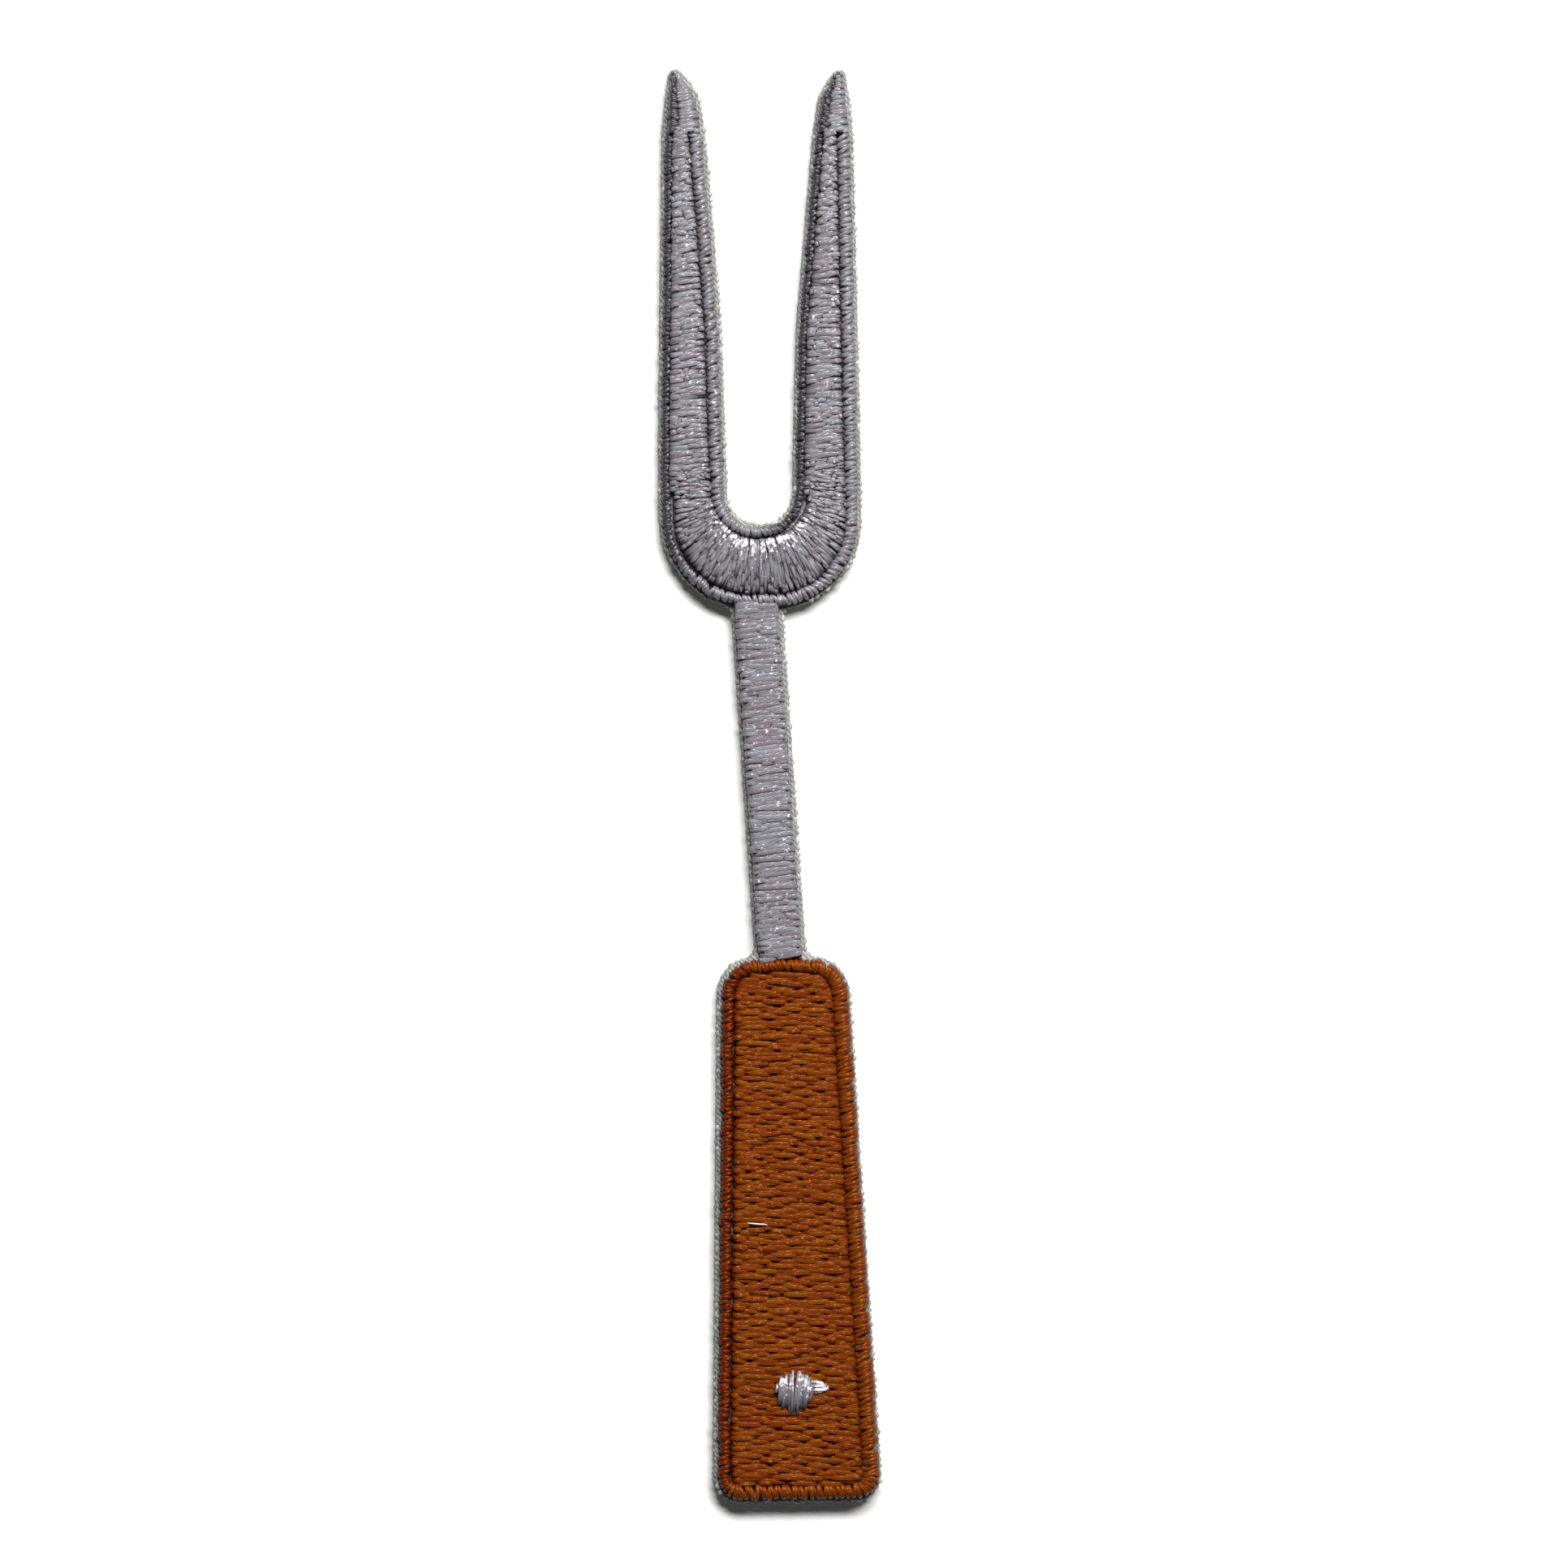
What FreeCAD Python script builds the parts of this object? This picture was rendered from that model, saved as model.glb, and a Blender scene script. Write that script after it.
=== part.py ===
import FreeCAD, Part
import math
import os

# A flat embroidered iron-on patch in the shape of a two-tine roasting fork, in millimetres.
#
# The patch lies on its adhesive face. +Z points up out of the stitched face and +Y runs from the handle
# to the tine tips. The origin is the middle of the adhesive face's bounding box.
#
# From the bottom up it is made of a heat-seal film with the bobbin threads pressed into it, a non-woven
# stabilizer, a twill ground cloth, the underlay threads and the top threads. The top threads are satin
# columns on the tines, the yoke and the shank, a fill on the handle, and a satin border round each of
# the two big shapes. Each run of thread is one piece, a closed solid of its outer size.

# ---- thickness of each layer, from the adhesive face up
FILM_THICKNESS = 0.15
STABILIZER_THICKNESS = 0.35
TWILL_THICKNESS = 0.40
BOBBIN_THICKNESS = 0.09  # pressed into the film
UNDERLAY_THICKNESS = 0.12

# ---- height of each stitched region above the twill
HEAD_FILL_LOFT = 0.76
TIP_LOFT = 0.62
HEAD_BORDER_LOFT = 0.66
SHANK_LOFT = 0.62
HANDLE_FILL_LOFT = 0.64
HANDLE_BORDER_LOFT = 0.76
RIVET_LOFT = 0.96
TIE_OFF_LOFT = 0.88

# ---- edges shared by all stitched regions
CUT_MARGIN = 0.22  # ground cloth that stands out past the stitches
CUT_SHIFT = 0.05  # how far the cutter ran to the right of the embroidery
CUT_CORNER_RADIUS = 0.60  # least radius of an inner corner of the cut
GROOVE = 0.12  # gap between a border and the region that it frames
EDGE_ROUND = 0.15  # rounding of a stitched region's upper edge
KNOT_ROUND = 0.10  # the same on the small knot

# ---- head: two tapered tines on a round yoke, in its own frame, with Y from the yoke's foot
HEAD_LENGTH = 36.0
HEAD_HALF_WIDTH = 6.50  # at the widest place
WIDEST_HEIGHT = 10.5
SHOULDER_HALF_SPAN = 6.12  # outer edge where a tip starts to taper
SHOULDER_BELOW_TIP = 3.8
TIP_HALF_SPAN = 5.62
TINE_WIDTH_AT_ROOT = 4.08
TINE_WIDTH_AT_WAIST = 3.56
WAIST_HEIGHT = 18.5
TINE_WIDTH_AT_MOUTH = 2.36
MOUTH_BELOW_TIP = 4.6
CHEEK_FLARE = 0.42  # the curved inner side of a tip, outwards from the mouth
CHEEK_BELOW_TIP = 1.8
RIGHT_TIP_SLIMNESS = 0.22  # how much narrower the right tine is at its mouth and cheek
CROTCH_HEIGHT = 5.20
CROTCH_RADIUS = 2.30
YOKE_LEFT_RADIUS = 6.00
YOKE_RIGHT_RADIUS = 5.60
SIDE_RADIUS = 30.0  # the long gentle bends of the tines' sides
CHEEK_RADIUS = 2.20
TIP_RADIUS = 0.20
HEAD_BORDER_WIDTH = 0.62
TIP_CAP_LENGTH = 4.30  # the tips are one satin column without a border
TINE_FOOT_HEIGHT = 9.0  # where the tines' columns hand over to the yoke's fan
HEAD_LEAN = 1.25  # degrees, clockwise
HEAD_OFFSET = -0.80  # head's axis at the yoke's foot, from the handle's axis

# ---- shank
SHANK_LENGTH = 23.7  # from the handle's top to the yoke's foot
SHANK_WIDTH = 2.84
SHANK_HEAD_OFFSET = -1.05  # shank's axis at the yoke, from the handle's axis
SHANK_FOOT_OFFSET = -0.11  # shank's axis at the handle
SHANK_TUCK = 1.60  # ground cloth that runs on under the head and the handle

# ---- handle: a tapered bar with round corners
HANDLE_LENGTH = 36.1
HANDLE_TOP_HALF_WIDTH = 4.10
HANDLE_FOOT_HALF_WIDTH = 5.40
HANDLE_TOP_RADIUS = 2.30
HANDLE_FOOT_RADIUS = 1.45
HANDLE_CROWN = 0.24  # how far the middle of its top stands above the shoulders
CROWN_RADIUS = 8.0
HANDLE_SKEW = 0.22  # drop of its ends from left to right
HANDLE_BORDER_WIDTH = 0.85

# ---- rivet, sewn on the handle's fill, and the knot beside it
RIVET_FROM_FOOT = 7.05
RIVET_OFFSET = -0.07
RIVET_WIDTH = 2.90
RIVET_HEIGHT = 3.05
RIVET_CORNER_RADIUS = 0.45
RIVET_PRESS = 0.16  # how far the rivet and its knot press into the fill
TIE_OFF_LENGTH = 0.95  # past the rivet's side
TIE_OFF_WIDTH = 0.75
TIE_OFF_RISE = 0.30  # knot's centre above the rivet's centre

# ---- a loop of bobbin thread pulled up through the handle's fill
PULL_UP_FROM_FOOT = 18.4
PULL_UP_FROM_EDGE = 0.90  # from the handle's left edge
PULL_UP_LENGTH = 1.30
PULL_UP_RISE = 0.10  # top of the loop's centre line above the fill
PULL_UP_DIP = 0.12  # its ends' centre line below the fill's top
THREAD_DIAMETER = 0.14

# ---- how far a hidden thread stays inside the stitches that cover it
UNDERLAY_INSET = 0.25
BOBBIN_INSET = 0.50

# ---- wide enough to cut across any region, and close enough to count as touching
FAR = 300.0
TOUCH = 1e-5

FILM_TOP = FILM_THICKNESS
STABILIZER_TOP = FILM_TOP + STABILIZER_THICKNESS
TWILL_TOP = STABILIZER_TOP + TWILL_THICKNESS

Vector = FreeCAD.Vector
UP = Vector(0, 0, 1)


# ---------------------------------------------------------------- plans, at Z = 0


def rounded_outline(corners):
    """A face whose corners are (x, y, radius), in order, each rounded by an arc of that radius."""
    points = [Vector(x, y, 0) for x, y, _ in corners]
    starts = []
    middles = []
    ends = []
    for index, (_, _, radius) in enumerate(corners):
        corner = points[index]
        back = (points[index - 1] - corner).normalize()
        ahead = (points[(index + 1) % len(points)] - corner).normalize()
        half_angle = back.getAngle(ahead) / 2
        reach = radius / math.tan(half_angle)
        bisector = (back + ahead).normalize()
        starts.append(corner + back * reach)
        middles.append(corner + bisector * (radius / math.sin(half_angle) - radius))
        ends.append(corner + ahead * reach)
    edges = []
    for index in range(len(corners)):
        next_start = starts[(index + 1) % len(corners)]
        edges.append(Part.Arc(starts[index], middles[index], ends[index]).toShape())
        edges.append(Part.LineSegment(ends[index], next_start).toShape())
    return Part.Face(Part.Wire(edges))


def band(y_low, y_high):
    """A wide band across the plan between two heights."""
    return Part.makePlane(2 * FAR, y_high - y_low, Vector(-FAR, y_low, 0))


def grown(region, distance):
    """A region let out by a distance all round, or taken in where the distance is negative."""
    return region.makeOffset2D(distance)


def left_to_right(shape):
    """The separate solids of a shape, or the faces of a flat one, from left to right."""
    return sorted(shape.Solids or shape.Faces, key=lambda piece: piece.CenterOfMass.x)


def side_at(y):
    """Distance from the head's axis to the straight outer side of a tine, at a height."""
    shoulder_height = HEAD_LENGTH - SHOULDER_BELOW_TIP
    share = (y - WIDEST_HEIGHT) / (shoulder_height - WIDEST_HEIGHT)
    return HEAD_HALF_WIDTH + share * (SHOULDER_HALF_SPAN - HEAD_HALF_WIDTH)


def head_plan():
    """Outer edge of the head's stitches, in the head's own frame."""
    mouth_height = HEAD_LENGTH - MOUTH_BELOW_TIP
    mouth = side_at(mouth_height) - TINE_WIDTH_AT_MOUTH
    waist = side_at(WAIST_HEIGHT) - TINE_WIDTH_AT_WAIST
    root = HEAD_HALF_WIDTH - TINE_WIDTH_AT_ROOT
    crotch_radius = min(CROTCH_RADIUS, 0.95 * root)

    def half(slimness):
        """Corners of one half, from its widest place up over the tip and down to the crotch."""
        return [
            (HEAD_HALF_WIDTH, WIDEST_HEIGHT, SIDE_RADIUS),
            (SHOULDER_HALF_SPAN, HEAD_LENGTH - SHOULDER_BELOW_TIP, SIDE_RADIUS),
            (TIP_HALF_SPAN, HEAD_LENGTH, TIP_RADIUS),
            (mouth + slimness + CHEEK_FLARE, HEAD_LENGTH - CHEEK_BELOW_TIP, CHEEK_RADIUS),
            (mouth + slimness, mouth_height, SIDE_RADIUS),
            (waist, WAIST_HEIGHT, SIDE_RADIUS),
            (root, CROTCH_HEIGHT, crotch_radius),
        ]

    right_side = half(RIGHT_TIP_SLIMNESS)
    left_side = [(-x, y, radius) for x, y, radius in reversed(half(0.0))]
    yoke_left = [(-HEAD_HALF_WIDTH, 0.0, YOKE_LEFT_RADIUS)]
    yoke_right = [(HEAD_HALF_WIDTH, 0.0, YOKE_RIGHT_RADIUS)]
    return rounded_outline(yoke_right + right_side + left_side + yoke_left)


def on_head(shape):
    """A copy of a shape made in the head's frame, moved to the head's place on the patch."""
    copy = shape.copy()
    copy.rotate(Vector(0, 0, 0), UP, -HEAD_LEAN)
    copy.translate(Vector(HEAD_OFFSET, SHANK_LENGTH, 0))
    return copy


def handle_plan():
    """Outer edge of the handle's stitches, with its top at Y = 0."""
    drop = HANDLE_SKEW / 2
    shoulder = -HANDLE_CROWN
    return rounded_outline(
        [
            (0.0, 0.0, CROWN_RADIUS),
            (-HANDLE_TOP_HALF_WIDTH, shoulder + drop, HANDLE_TOP_RADIUS),
            (-HANDLE_FOOT_HALF_WIDTH, drop - HANDLE_LENGTH, HANDLE_FOOT_RADIUS),
            (HANDLE_FOOT_HALF_WIDTH, -drop - HANDLE_LENGTH, HANDLE_FOOT_RADIUS),
            (HANDLE_TOP_HALF_WIDTH, shoulder - drop, HANDLE_TOP_RADIUS),
        ]
    )


def shank_plan(width):
    """The shank's strip, of a width, run on by SHANK_TUCK under the head and the handle."""
    foot = Vector(SHANK_FOOT_OFFSET, 0, 0)
    head = Vector(SHANK_HEAD_OFFSET, SHANK_LENGTH, 0)
    way = (head - foot).normalize()
    across = Vector(way.y, -way.x, 0) * (width / 2)
    low = foot - way * SHANK_TUCK
    high = head + way * SHANK_TUCK
    corners = [low - across, low + across, high + across, high - across]
    return Part.Face(Part.makePolygon([*corners, corners[0]]))


def rivet_plan():
    """The rivet's uneven outline, round its own centre, with a lobe at the upper left."""
    side = RIVET_WIDTH / 2
    top = RIVET_HEIGHT / 2
    radius = RIVET_CORNER_RADIUS
    return rounded_outline(
        [
            (-side, 0.45 * top, radius),
            (-0.70 * side, -0.60 * top, radius),
            (-0.05 * side, -top, radius),
            (0.62 * side, -0.78 * top, radius),
            (side, -0.10 * top, radius),
            (0.72 * side, 0.74 * top, radius),
            (0.12 * side, top, radius),
            (-0.78 * side, 0.80 * top, radius),
        ]
    )


def rivet_centre():
    """Centre of the rivet on the handle."""
    return Vector(RIVET_OFFSET, RIVET_FROM_FOOT - HANDLE_LENGTH, 0)


def tie_off_plan(rivet):
    """The knot beside the rivet: a short round-ended stub that stops at the rivet's side."""
    centre = rivet_centre()
    end_radius = TIE_OFF_WIDTH / 2
    tip_x = centre.x + RIVET_WIDTH / 2 + TIE_OFF_LENGTH - end_radius
    y = centre.y + TIE_OFF_RISE
    stub = Part.makePlane(tip_x - centre.x, TIE_OFF_WIDTH, Vector(centre.x, y - end_radius, 0))
    end = Part.Face(Part.Wire(Part.makeCircle(end_radius, Vector(tip_x, y, 0))))
    whole = stub.fuse(end).removeSplitter().Faces[0]
    return left_to_right(whole.cut(rivet))[-1]


def cut_plan(head, handle):
    """The cutter's path: the stitches let out by the margin, with its inner corners rounded."""
    strip = shank_plan(SHANK_WIDTH)
    whole = head.fuse([strip, handle]).removeSplitter().Faces[0]
    path = grown(grown(whole, CUT_MARGIN + CUT_CORNER_RADIUS), -CUT_CORNER_RADIUS)
    path.translate(Vector(CUT_SHIFT, 0, 0))
    return path


# ---------------------------------------------------------------- solids


def layer(region, low, thickness):
    """A region of the plan as a flat layer from a low Z."""
    solids = []
    for face in region.Faces:
        solid = face.extrude(Vector(0, 0, thickness))
        solid.translate(Vector(0, 0, low))
        solids.append(solid)
    return solids[0] if len(solids) == 1 else Part.makeCompound(solids)


def along(edge, plans):
    """Whether the middle of an edge, seen from above, is on one of some plans."""
    middle = edge.valueAt((edge.FirstParameter + edge.LastParameter) / 2)
    below = Part.Vertex(middle.x, middle.y, 0)
    return any(plan.distToShape(below)[0] < TOUCH for plan in plans)


def padded(region, low, height, radius=EDGE_ROUND, square_at=()):
    """A region of the plan as a layer with a rounded upper rim, left square along some other plans."""
    solid = layer(region, low, height)
    top = low + height
    rim = []
    for edge in solid.Edges:
        on_top = all(abs(vertex.Z - top) < TOUCH for vertex in edge.Vertexes)
        if on_top and not along(edge, square_at):
            rim.append(edge)
    return solid.makeFillet(radius, rim)


def slice_of(solid, y_low, y_high):
    """The part of a solid between two heights of the plan."""
    thick = band(y_low, y_high).extrude(Vector(0, 0, FAR))
    return solid.common(thick)


def stitched(region, loft, square_at=()):
    """Top threads over a region of the twill, left square where another region cuts them off."""
    return padded(region, TWILL_TOP, loft, EDGE_ROUND, square_at)


def underlay_of(region):
    """Underlay threads on the twill, hidden inside a region's stitches."""
    return layer(grown(region, -UNDERLAY_INSET), TWILL_TOP, UNDERLAY_THICKNESS)


def bobbin_of(region):
    """Bobbin threads on the back of the stabilizer, pressed into the film."""
    return layer(region, FILM_TOP - BOBBIN_THICKNESS, BOBBIN_THICKNESS)


def pull_up_loop():
    """A low arch of thread with both ends in the handle's fill."""
    radius = THREAD_DIAMETER / 2
    y = PULL_UP_FROM_FOOT - HANDLE_LENGTH
    slope = (HANDLE_FOOT_HALF_WIDTH - HANDLE_TOP_HALF_WIDTH) / HANDLE_LENGTH
    edge_x = -(HANDLE_TOP_HALF_WIDTH - slope * y)
    left = edge_x + HANDLE_BORDER_WIDTH + GROOVE + PULL_UP_FROM_EDGE
    fill_top = TWILL_TOP + HANDLE_FILL_LOFT
    start = Vector(left, y, fill_top - PULL_UP_DIP)
    crest = Vector(left + PULL_UP_LENGTH / 2, y, fill_top + PULL_UP_RISE)
    finish = Vector(left + PULL_UP_LENGTH, y, fill_top - PULL_UP_DIP)
    arch = Part.Arc(start, crest, finish)
    direction = arch.tangent(arch.FirstParameter)[0]
    section = Part.Wire(Part.makeCircle(radius, start, direction))
    return Part.Wire(arch.toShape()).makePipeShell([section], True, True)


# ---------------------------------------------------------------- the patch


def head_pieces(head):
    """The tines, the yoke, the tips and the two borders, from the head's plan."""
    cap_line = HEAD_LENGTH - TIP_CAP_LENGTH
    below_caps = band(-FAR, cap_line - GROOVE)
    past_columns = [band(cap_line - GROOVE, FAR)]
    past_caps = [band(-FAR, cap_line)]
    caps = left_to_right(head.common(band(cap_line, FAR)))
    frame = head.cut(grown(head, -HEAD_BORDER_WIDTH)).common(below_caps)
    inner_border, outer_border = sorted(frame.Faces, key=lambda face: face.Area)
    filled = grown(head, -HEAD_BORDER_WIDTH - GROOVE).common(below_caps)
    column = stitched(filled, HEAD_FILL_LOFT, past_columns)
    left_column, right_column = left_to_right(slice_of(column, TINE_FOOT_HEIGHT, FAR))
    left_tine, right_tine = left_to_right(filled.common(band(TINE_FOOT_HEIGHT, FAR)))
    yoke = filled.common(band(-FAR, TINE_FOOT_HEIGHT))
    pieces = {
        "left_tip_satin": stitched(caps[0], TIP_LOFT, past_caps),
        "right_tip_satin": stitched(caps[1], TIP_LOFT, past_caps),
        "head_outer_border": stitched(outer_border, HEAD_BORDER_LOFT, past_columns),
        "head_inner_border": stitched(inner_border, HEAD_BORDER_LOFT, past_columns),
    }
    for name, region, satin in (
        ("left_tine", left_tine, left_column),
        ("right_tine", right_tine, right_column),
        ("yoke", yoke.Faces[0], slice_of(column, -FAR, TINE_FOOT_HEIGHT)),
    ):
        underlay = underlay_of(region)
        pieces[name + "_underlay"] = underlay
        pieces[name + "_satin"] = satin.cut(underlay)
        pieces[name + "_bobbin"] = bobbin_of(grown(region, -BOBBIN_INSET))
    return {name: on_head(shape) for name, shape in pieces.items()}


def shank_pieces(head, handle):
    """The shank's satin column, which ends where the head's and the handle's borders cover it."""
    strip = shank_plan(SHANK_WIDTH)
    visible = strip.cut([head, handle]).Faces[0]
    underlay = underlay_of(visible)
    return {
        "shank_underlay": underlay,
        "shank_satin": stitched(visible, SHANK_LOFT, [head, handle]).cut(underlay),
        "shank_bobbin": bobbin_of(grown(visible, -BOBBIN_INSET)),
    }


def handle_pieces(handle):
    """The handle's fill and border, and what is sewn on the fill."""
    border = handle.cut(grown(handle, -HANDLE_BORDER_WIDTH))
    filled = grown(handle, -HANDLE_BORDER_WIDTH - GROOVE)
    underlay = underlay_of(filled)
    rivet_face = rivet_plan()
    rivet_face.translate(rivet_centre())
    sewn_low = TWILL_TOP + HANDLE_FILL_LOFT - RIVET_PRESS
    rivet = padded(rivet_face, sewn_low, TWILL_TOP + RIVET_LOFT - sewn_low)
    tie_off_height = TWILL_TOP + TIE_OFF_LOFT - sewn_low
    tie_off = padded(tie_off_plan(rivet_face), sewn_low, tie_off_height, KNOT_ROUND)
    loop = pull_up_loop()
    fill = stitched(filled, HANDLE_FILL_LOFT).cut([underlay, rivet, tie_off, loop])
    return {
        "handle_underlay": underlay,
        "handle_fill": fill,
        "handle_border": stitched(border, HANDLE_BORDER_LOFT),
        "handle_bobbin": bobbin_of(grown(filled, -BOBBIN_INSET)),
        "rivet_satin": rivet,
        "rivet_tie_off": tie_off,
        "bobbin_pull_up": loop,
    }


def ground_pieces(path, bobbins):
    """The three cut layers, with the film hollowed for the bobbin threads."""
    return {
        "heat_seal_film": layer(path, 0.0, FILM_THICKNESS).cut(bobbins),
        "stabilizer_backing": layer(path, FILM_TOP, STABILIZER_THICKNESS),
        "base_twill": layer(path, STABILIZER_TOP, TWILL_THICKNESS),
    }


def build():
    """Every piece of the patch, by node name, with the origin under the middle of its box."""
    head_frame_plan = head_plan()
    head = on_head(head_frame_plan)
    handle = handle_plan()
    nodes = {}
    nodes.update(head_pieces(head_frame_plan))
    nodes.update(shank_pieces(head, handle))
    nodes.update(handle_pieces(handle))
    bobbins = [shape for name, shape in nodes.items() if name.endswith("_bobbin")]
    nodes.update(ground_pieces(cut_plan(head, handle), bobbins))
    box = nodes["heat_seal_film"].BoundBox
    to_origin = Vector(-box.Center.x, -box.Center.y, 0)
    for shape in nodes.values():
        shape.translate(to_origin)
    return nodes


def main():
    """Write each piece to its own file."""
    os.makedirs("parts", exist_ok=True)
    for name, shape in build().items():
        shape.exportStep(f"parts/{name}.step")
        box = shape.BoundBox
        size = f"{box.XLength:.2f} x {box.YLength:.2f} x {box.ZLength:.2f}"
        print(f"{name}: {size} mm, {len(shape.Solids)} solid, valid {shape.isValid()}")


main()
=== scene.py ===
"""An embroidered iron-on patch in the shape of a two-tine roasting fork, with every stitch a piece of thread.

Every outline and every height comes from the frame. The frame's flat solids say where each run of thread
lies, and the classes below sew real stitches in their place: satin columns, a brick-stitched fill, borders,
underlay and bobbin threads, on a ground of twill, stabilizer and heat-seal film.
"""

import logging
import math
from collections.abc import Sequence
from dataclasses import dataclass, field, replace
from enum import Enum
from functools import cache

import bpy
import numpy as np
from mathutils import Matrix, Vector
from mathutils.geometry import delaunay_2d_cdt


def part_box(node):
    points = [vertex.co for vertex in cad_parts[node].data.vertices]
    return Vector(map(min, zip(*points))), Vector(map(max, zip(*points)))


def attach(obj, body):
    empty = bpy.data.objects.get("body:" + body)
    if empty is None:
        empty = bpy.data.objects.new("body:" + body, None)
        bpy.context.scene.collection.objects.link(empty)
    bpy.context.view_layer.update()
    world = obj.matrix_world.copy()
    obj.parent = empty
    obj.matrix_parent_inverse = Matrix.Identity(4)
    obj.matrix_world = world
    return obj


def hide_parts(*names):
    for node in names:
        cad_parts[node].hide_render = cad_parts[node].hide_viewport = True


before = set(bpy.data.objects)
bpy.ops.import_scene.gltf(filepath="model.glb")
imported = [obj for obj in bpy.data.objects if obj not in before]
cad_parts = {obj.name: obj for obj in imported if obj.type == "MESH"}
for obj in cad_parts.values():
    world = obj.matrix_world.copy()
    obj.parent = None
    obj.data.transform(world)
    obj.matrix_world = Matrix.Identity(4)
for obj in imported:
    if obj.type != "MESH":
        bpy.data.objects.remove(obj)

Array = np.ndarray
Colour = tuple[float, float, float, float]
LOG = logging.getLogger("patch")
MM = 0.001
WELD = 1e-7  # metres within which two corners of a solid are one point
LEVEL = 1e-6  # metres within which a corner lies in a flat face
SPECK = 1e-9  # metres that count as no length
TINY = 1e-12  # keeps a division by nothing finite
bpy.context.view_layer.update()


class Slot(Enum):
    """The material slots that a piece can take its finish from."""

    GREY = "grey_thread"
    BROWN = "brown_thread"
    BOBBIN = "bobbin_thread"
    TWILL = "twill_cloth"
    STABILIZER = "stabilizer"
    FILM = "heat_seal_film"


class Face(Enum):
    """The flat face of a solid whose edge is wanted."""

    BOTTOM = "bottom"
    TOP = "top"


class Side(Enum):
    """One of a column's two rails."""

    LEFT = 0
    RIGHT = 1


# ---------------------------------------------------------------- outlines of the frame's solids


def outlines(node: str, face: Face = Face.BOTTOM) -> list[Array]:
    """Closed outlines of a solid's flat bottom or top face.

    A face's rim is the directed edges of its triangles that no other of them runs back along. The points
    are put in order by doubling: the order so far, stepped on by its own length, is the next stretch.

    Args:
        node: Name of the frame's node.
        face: Which flat face.

    Returns:
        Outlines as (n, 2) arrays of X and Y in metres, the longest first.
    """
    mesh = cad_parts[node].data
    mesh.calc_loop_triangles()
    points = np.empty(len(mesh.vertices) * 3)
    mesh.vertices.foreach_get("co", points)
    corners = np.empty(len(mesh.loop_triangles) * 3, dtype=np.int32)
    mesh.loop_triangles.foreach_get("vertices", corners)
    grid = np.round(points.reshape(-1, 3) / WELD).astype(np.int64)
    unique, same = np.unique(grid, axis=0, return_inverse=True)
    points = unique * WELD
    triangles = same.reshape(-1)[corners].reshape(-1, 3)
    height = points[:, 2].min() if face is Face.BOTTOM else points[:, 2].max()
    triangles = triangles[np.all(np.abs(points[triangles, 2] - height) < LEVEL, axis=1)]
    tails = np.concatenate([triangles[:, 0], triangles[:, 1], triangles[:, 2]])
    heads = np.concatenate([triangles[:, 1], triangles[:, 2], triangles[:, 0]])
    count = len(points)
    rim = ~np.isin(tails * count + heads, heads * count + tails)
    step = np.arange(count)
    step[tails[rim]] = heads[rim]
    left = set(tails[rim].tolist())
    found = []
    while left:
        order = np.array([min(left)])
        jump = step.copy()
        while len(order) <= len(left):
            order = np.concatenate([order, jump[order]])
            jump = jump[jump]
        back = np.nonzero(order[1:] == order[0])[0]
        order = order[: back[0] + 1]
        left -= set(order.tolist())
        found.append(points[order, :2])
    return sorted(found, key=lambda loop: -line_length(closed(loop)))


def closed(loop: Array) -> Array:
    """A loop with its first point repeated at its end."""
    return np.concatenate([loop, loop[:1]])


def line_length(line: Array) -> float:
    """Length of an open line of points."""
    return float(np.linalg.norm(np.diff(line, axis=0), axis=1).sum())


def along_line(line: Array, shares: Array) -> Array:
    """Points at given shares of an open line's length, by straight interpolation between its points.

    Args:
        line: The open line, (n, 2).
        shares: Shares of its length, from 0 to 1.

    Returns:
        A point for each share, (k, 2).
    """
    steps = np.linalg.norm(np.diff(line, axis=0), axis=1)
    reach = np.concatenate([[0.0], np.cumsum(steps)])
    wanted = np.asarray(shares) * reach[-1]
    return np.stack([np.interp(wanted, reach, line[:, axis]) for axis in range(2)], axis=1)


def split_at_corners(loop: Array, sharpest: float = 50.0) -> list[Array]:
    """A loop cut into open lines at its corners.

    Args:
        loop: Closed outline, (n, 2).
        sharpest: The turn in degrees past which a point is a corner.

    Returns:
        The lines, each with the corners at both its ends.
    """
    back = loop - np.roll(loop, 1, axis=0)
    ahead = np.roll(loop, -1, axis=0) - loop
    cross = back[:, 0] * ahead[:, 1] - back[:, 1] * ahead[:, 0]
    turn = np.degrees(np.abs(np.arctan2(cross, np.sum(back * ahead, axis=1))))
    corners = np.nonzero(turn > sharpest)[0]
    rolled = closed(np.roll(loop, -corners[0], axis=0))
    cuts = np.append(corners - corners[0], len(loop))
    return [rolled[low : high + 1] for low, high in zip(cuts[:-1], cuts[1:])]


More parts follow.
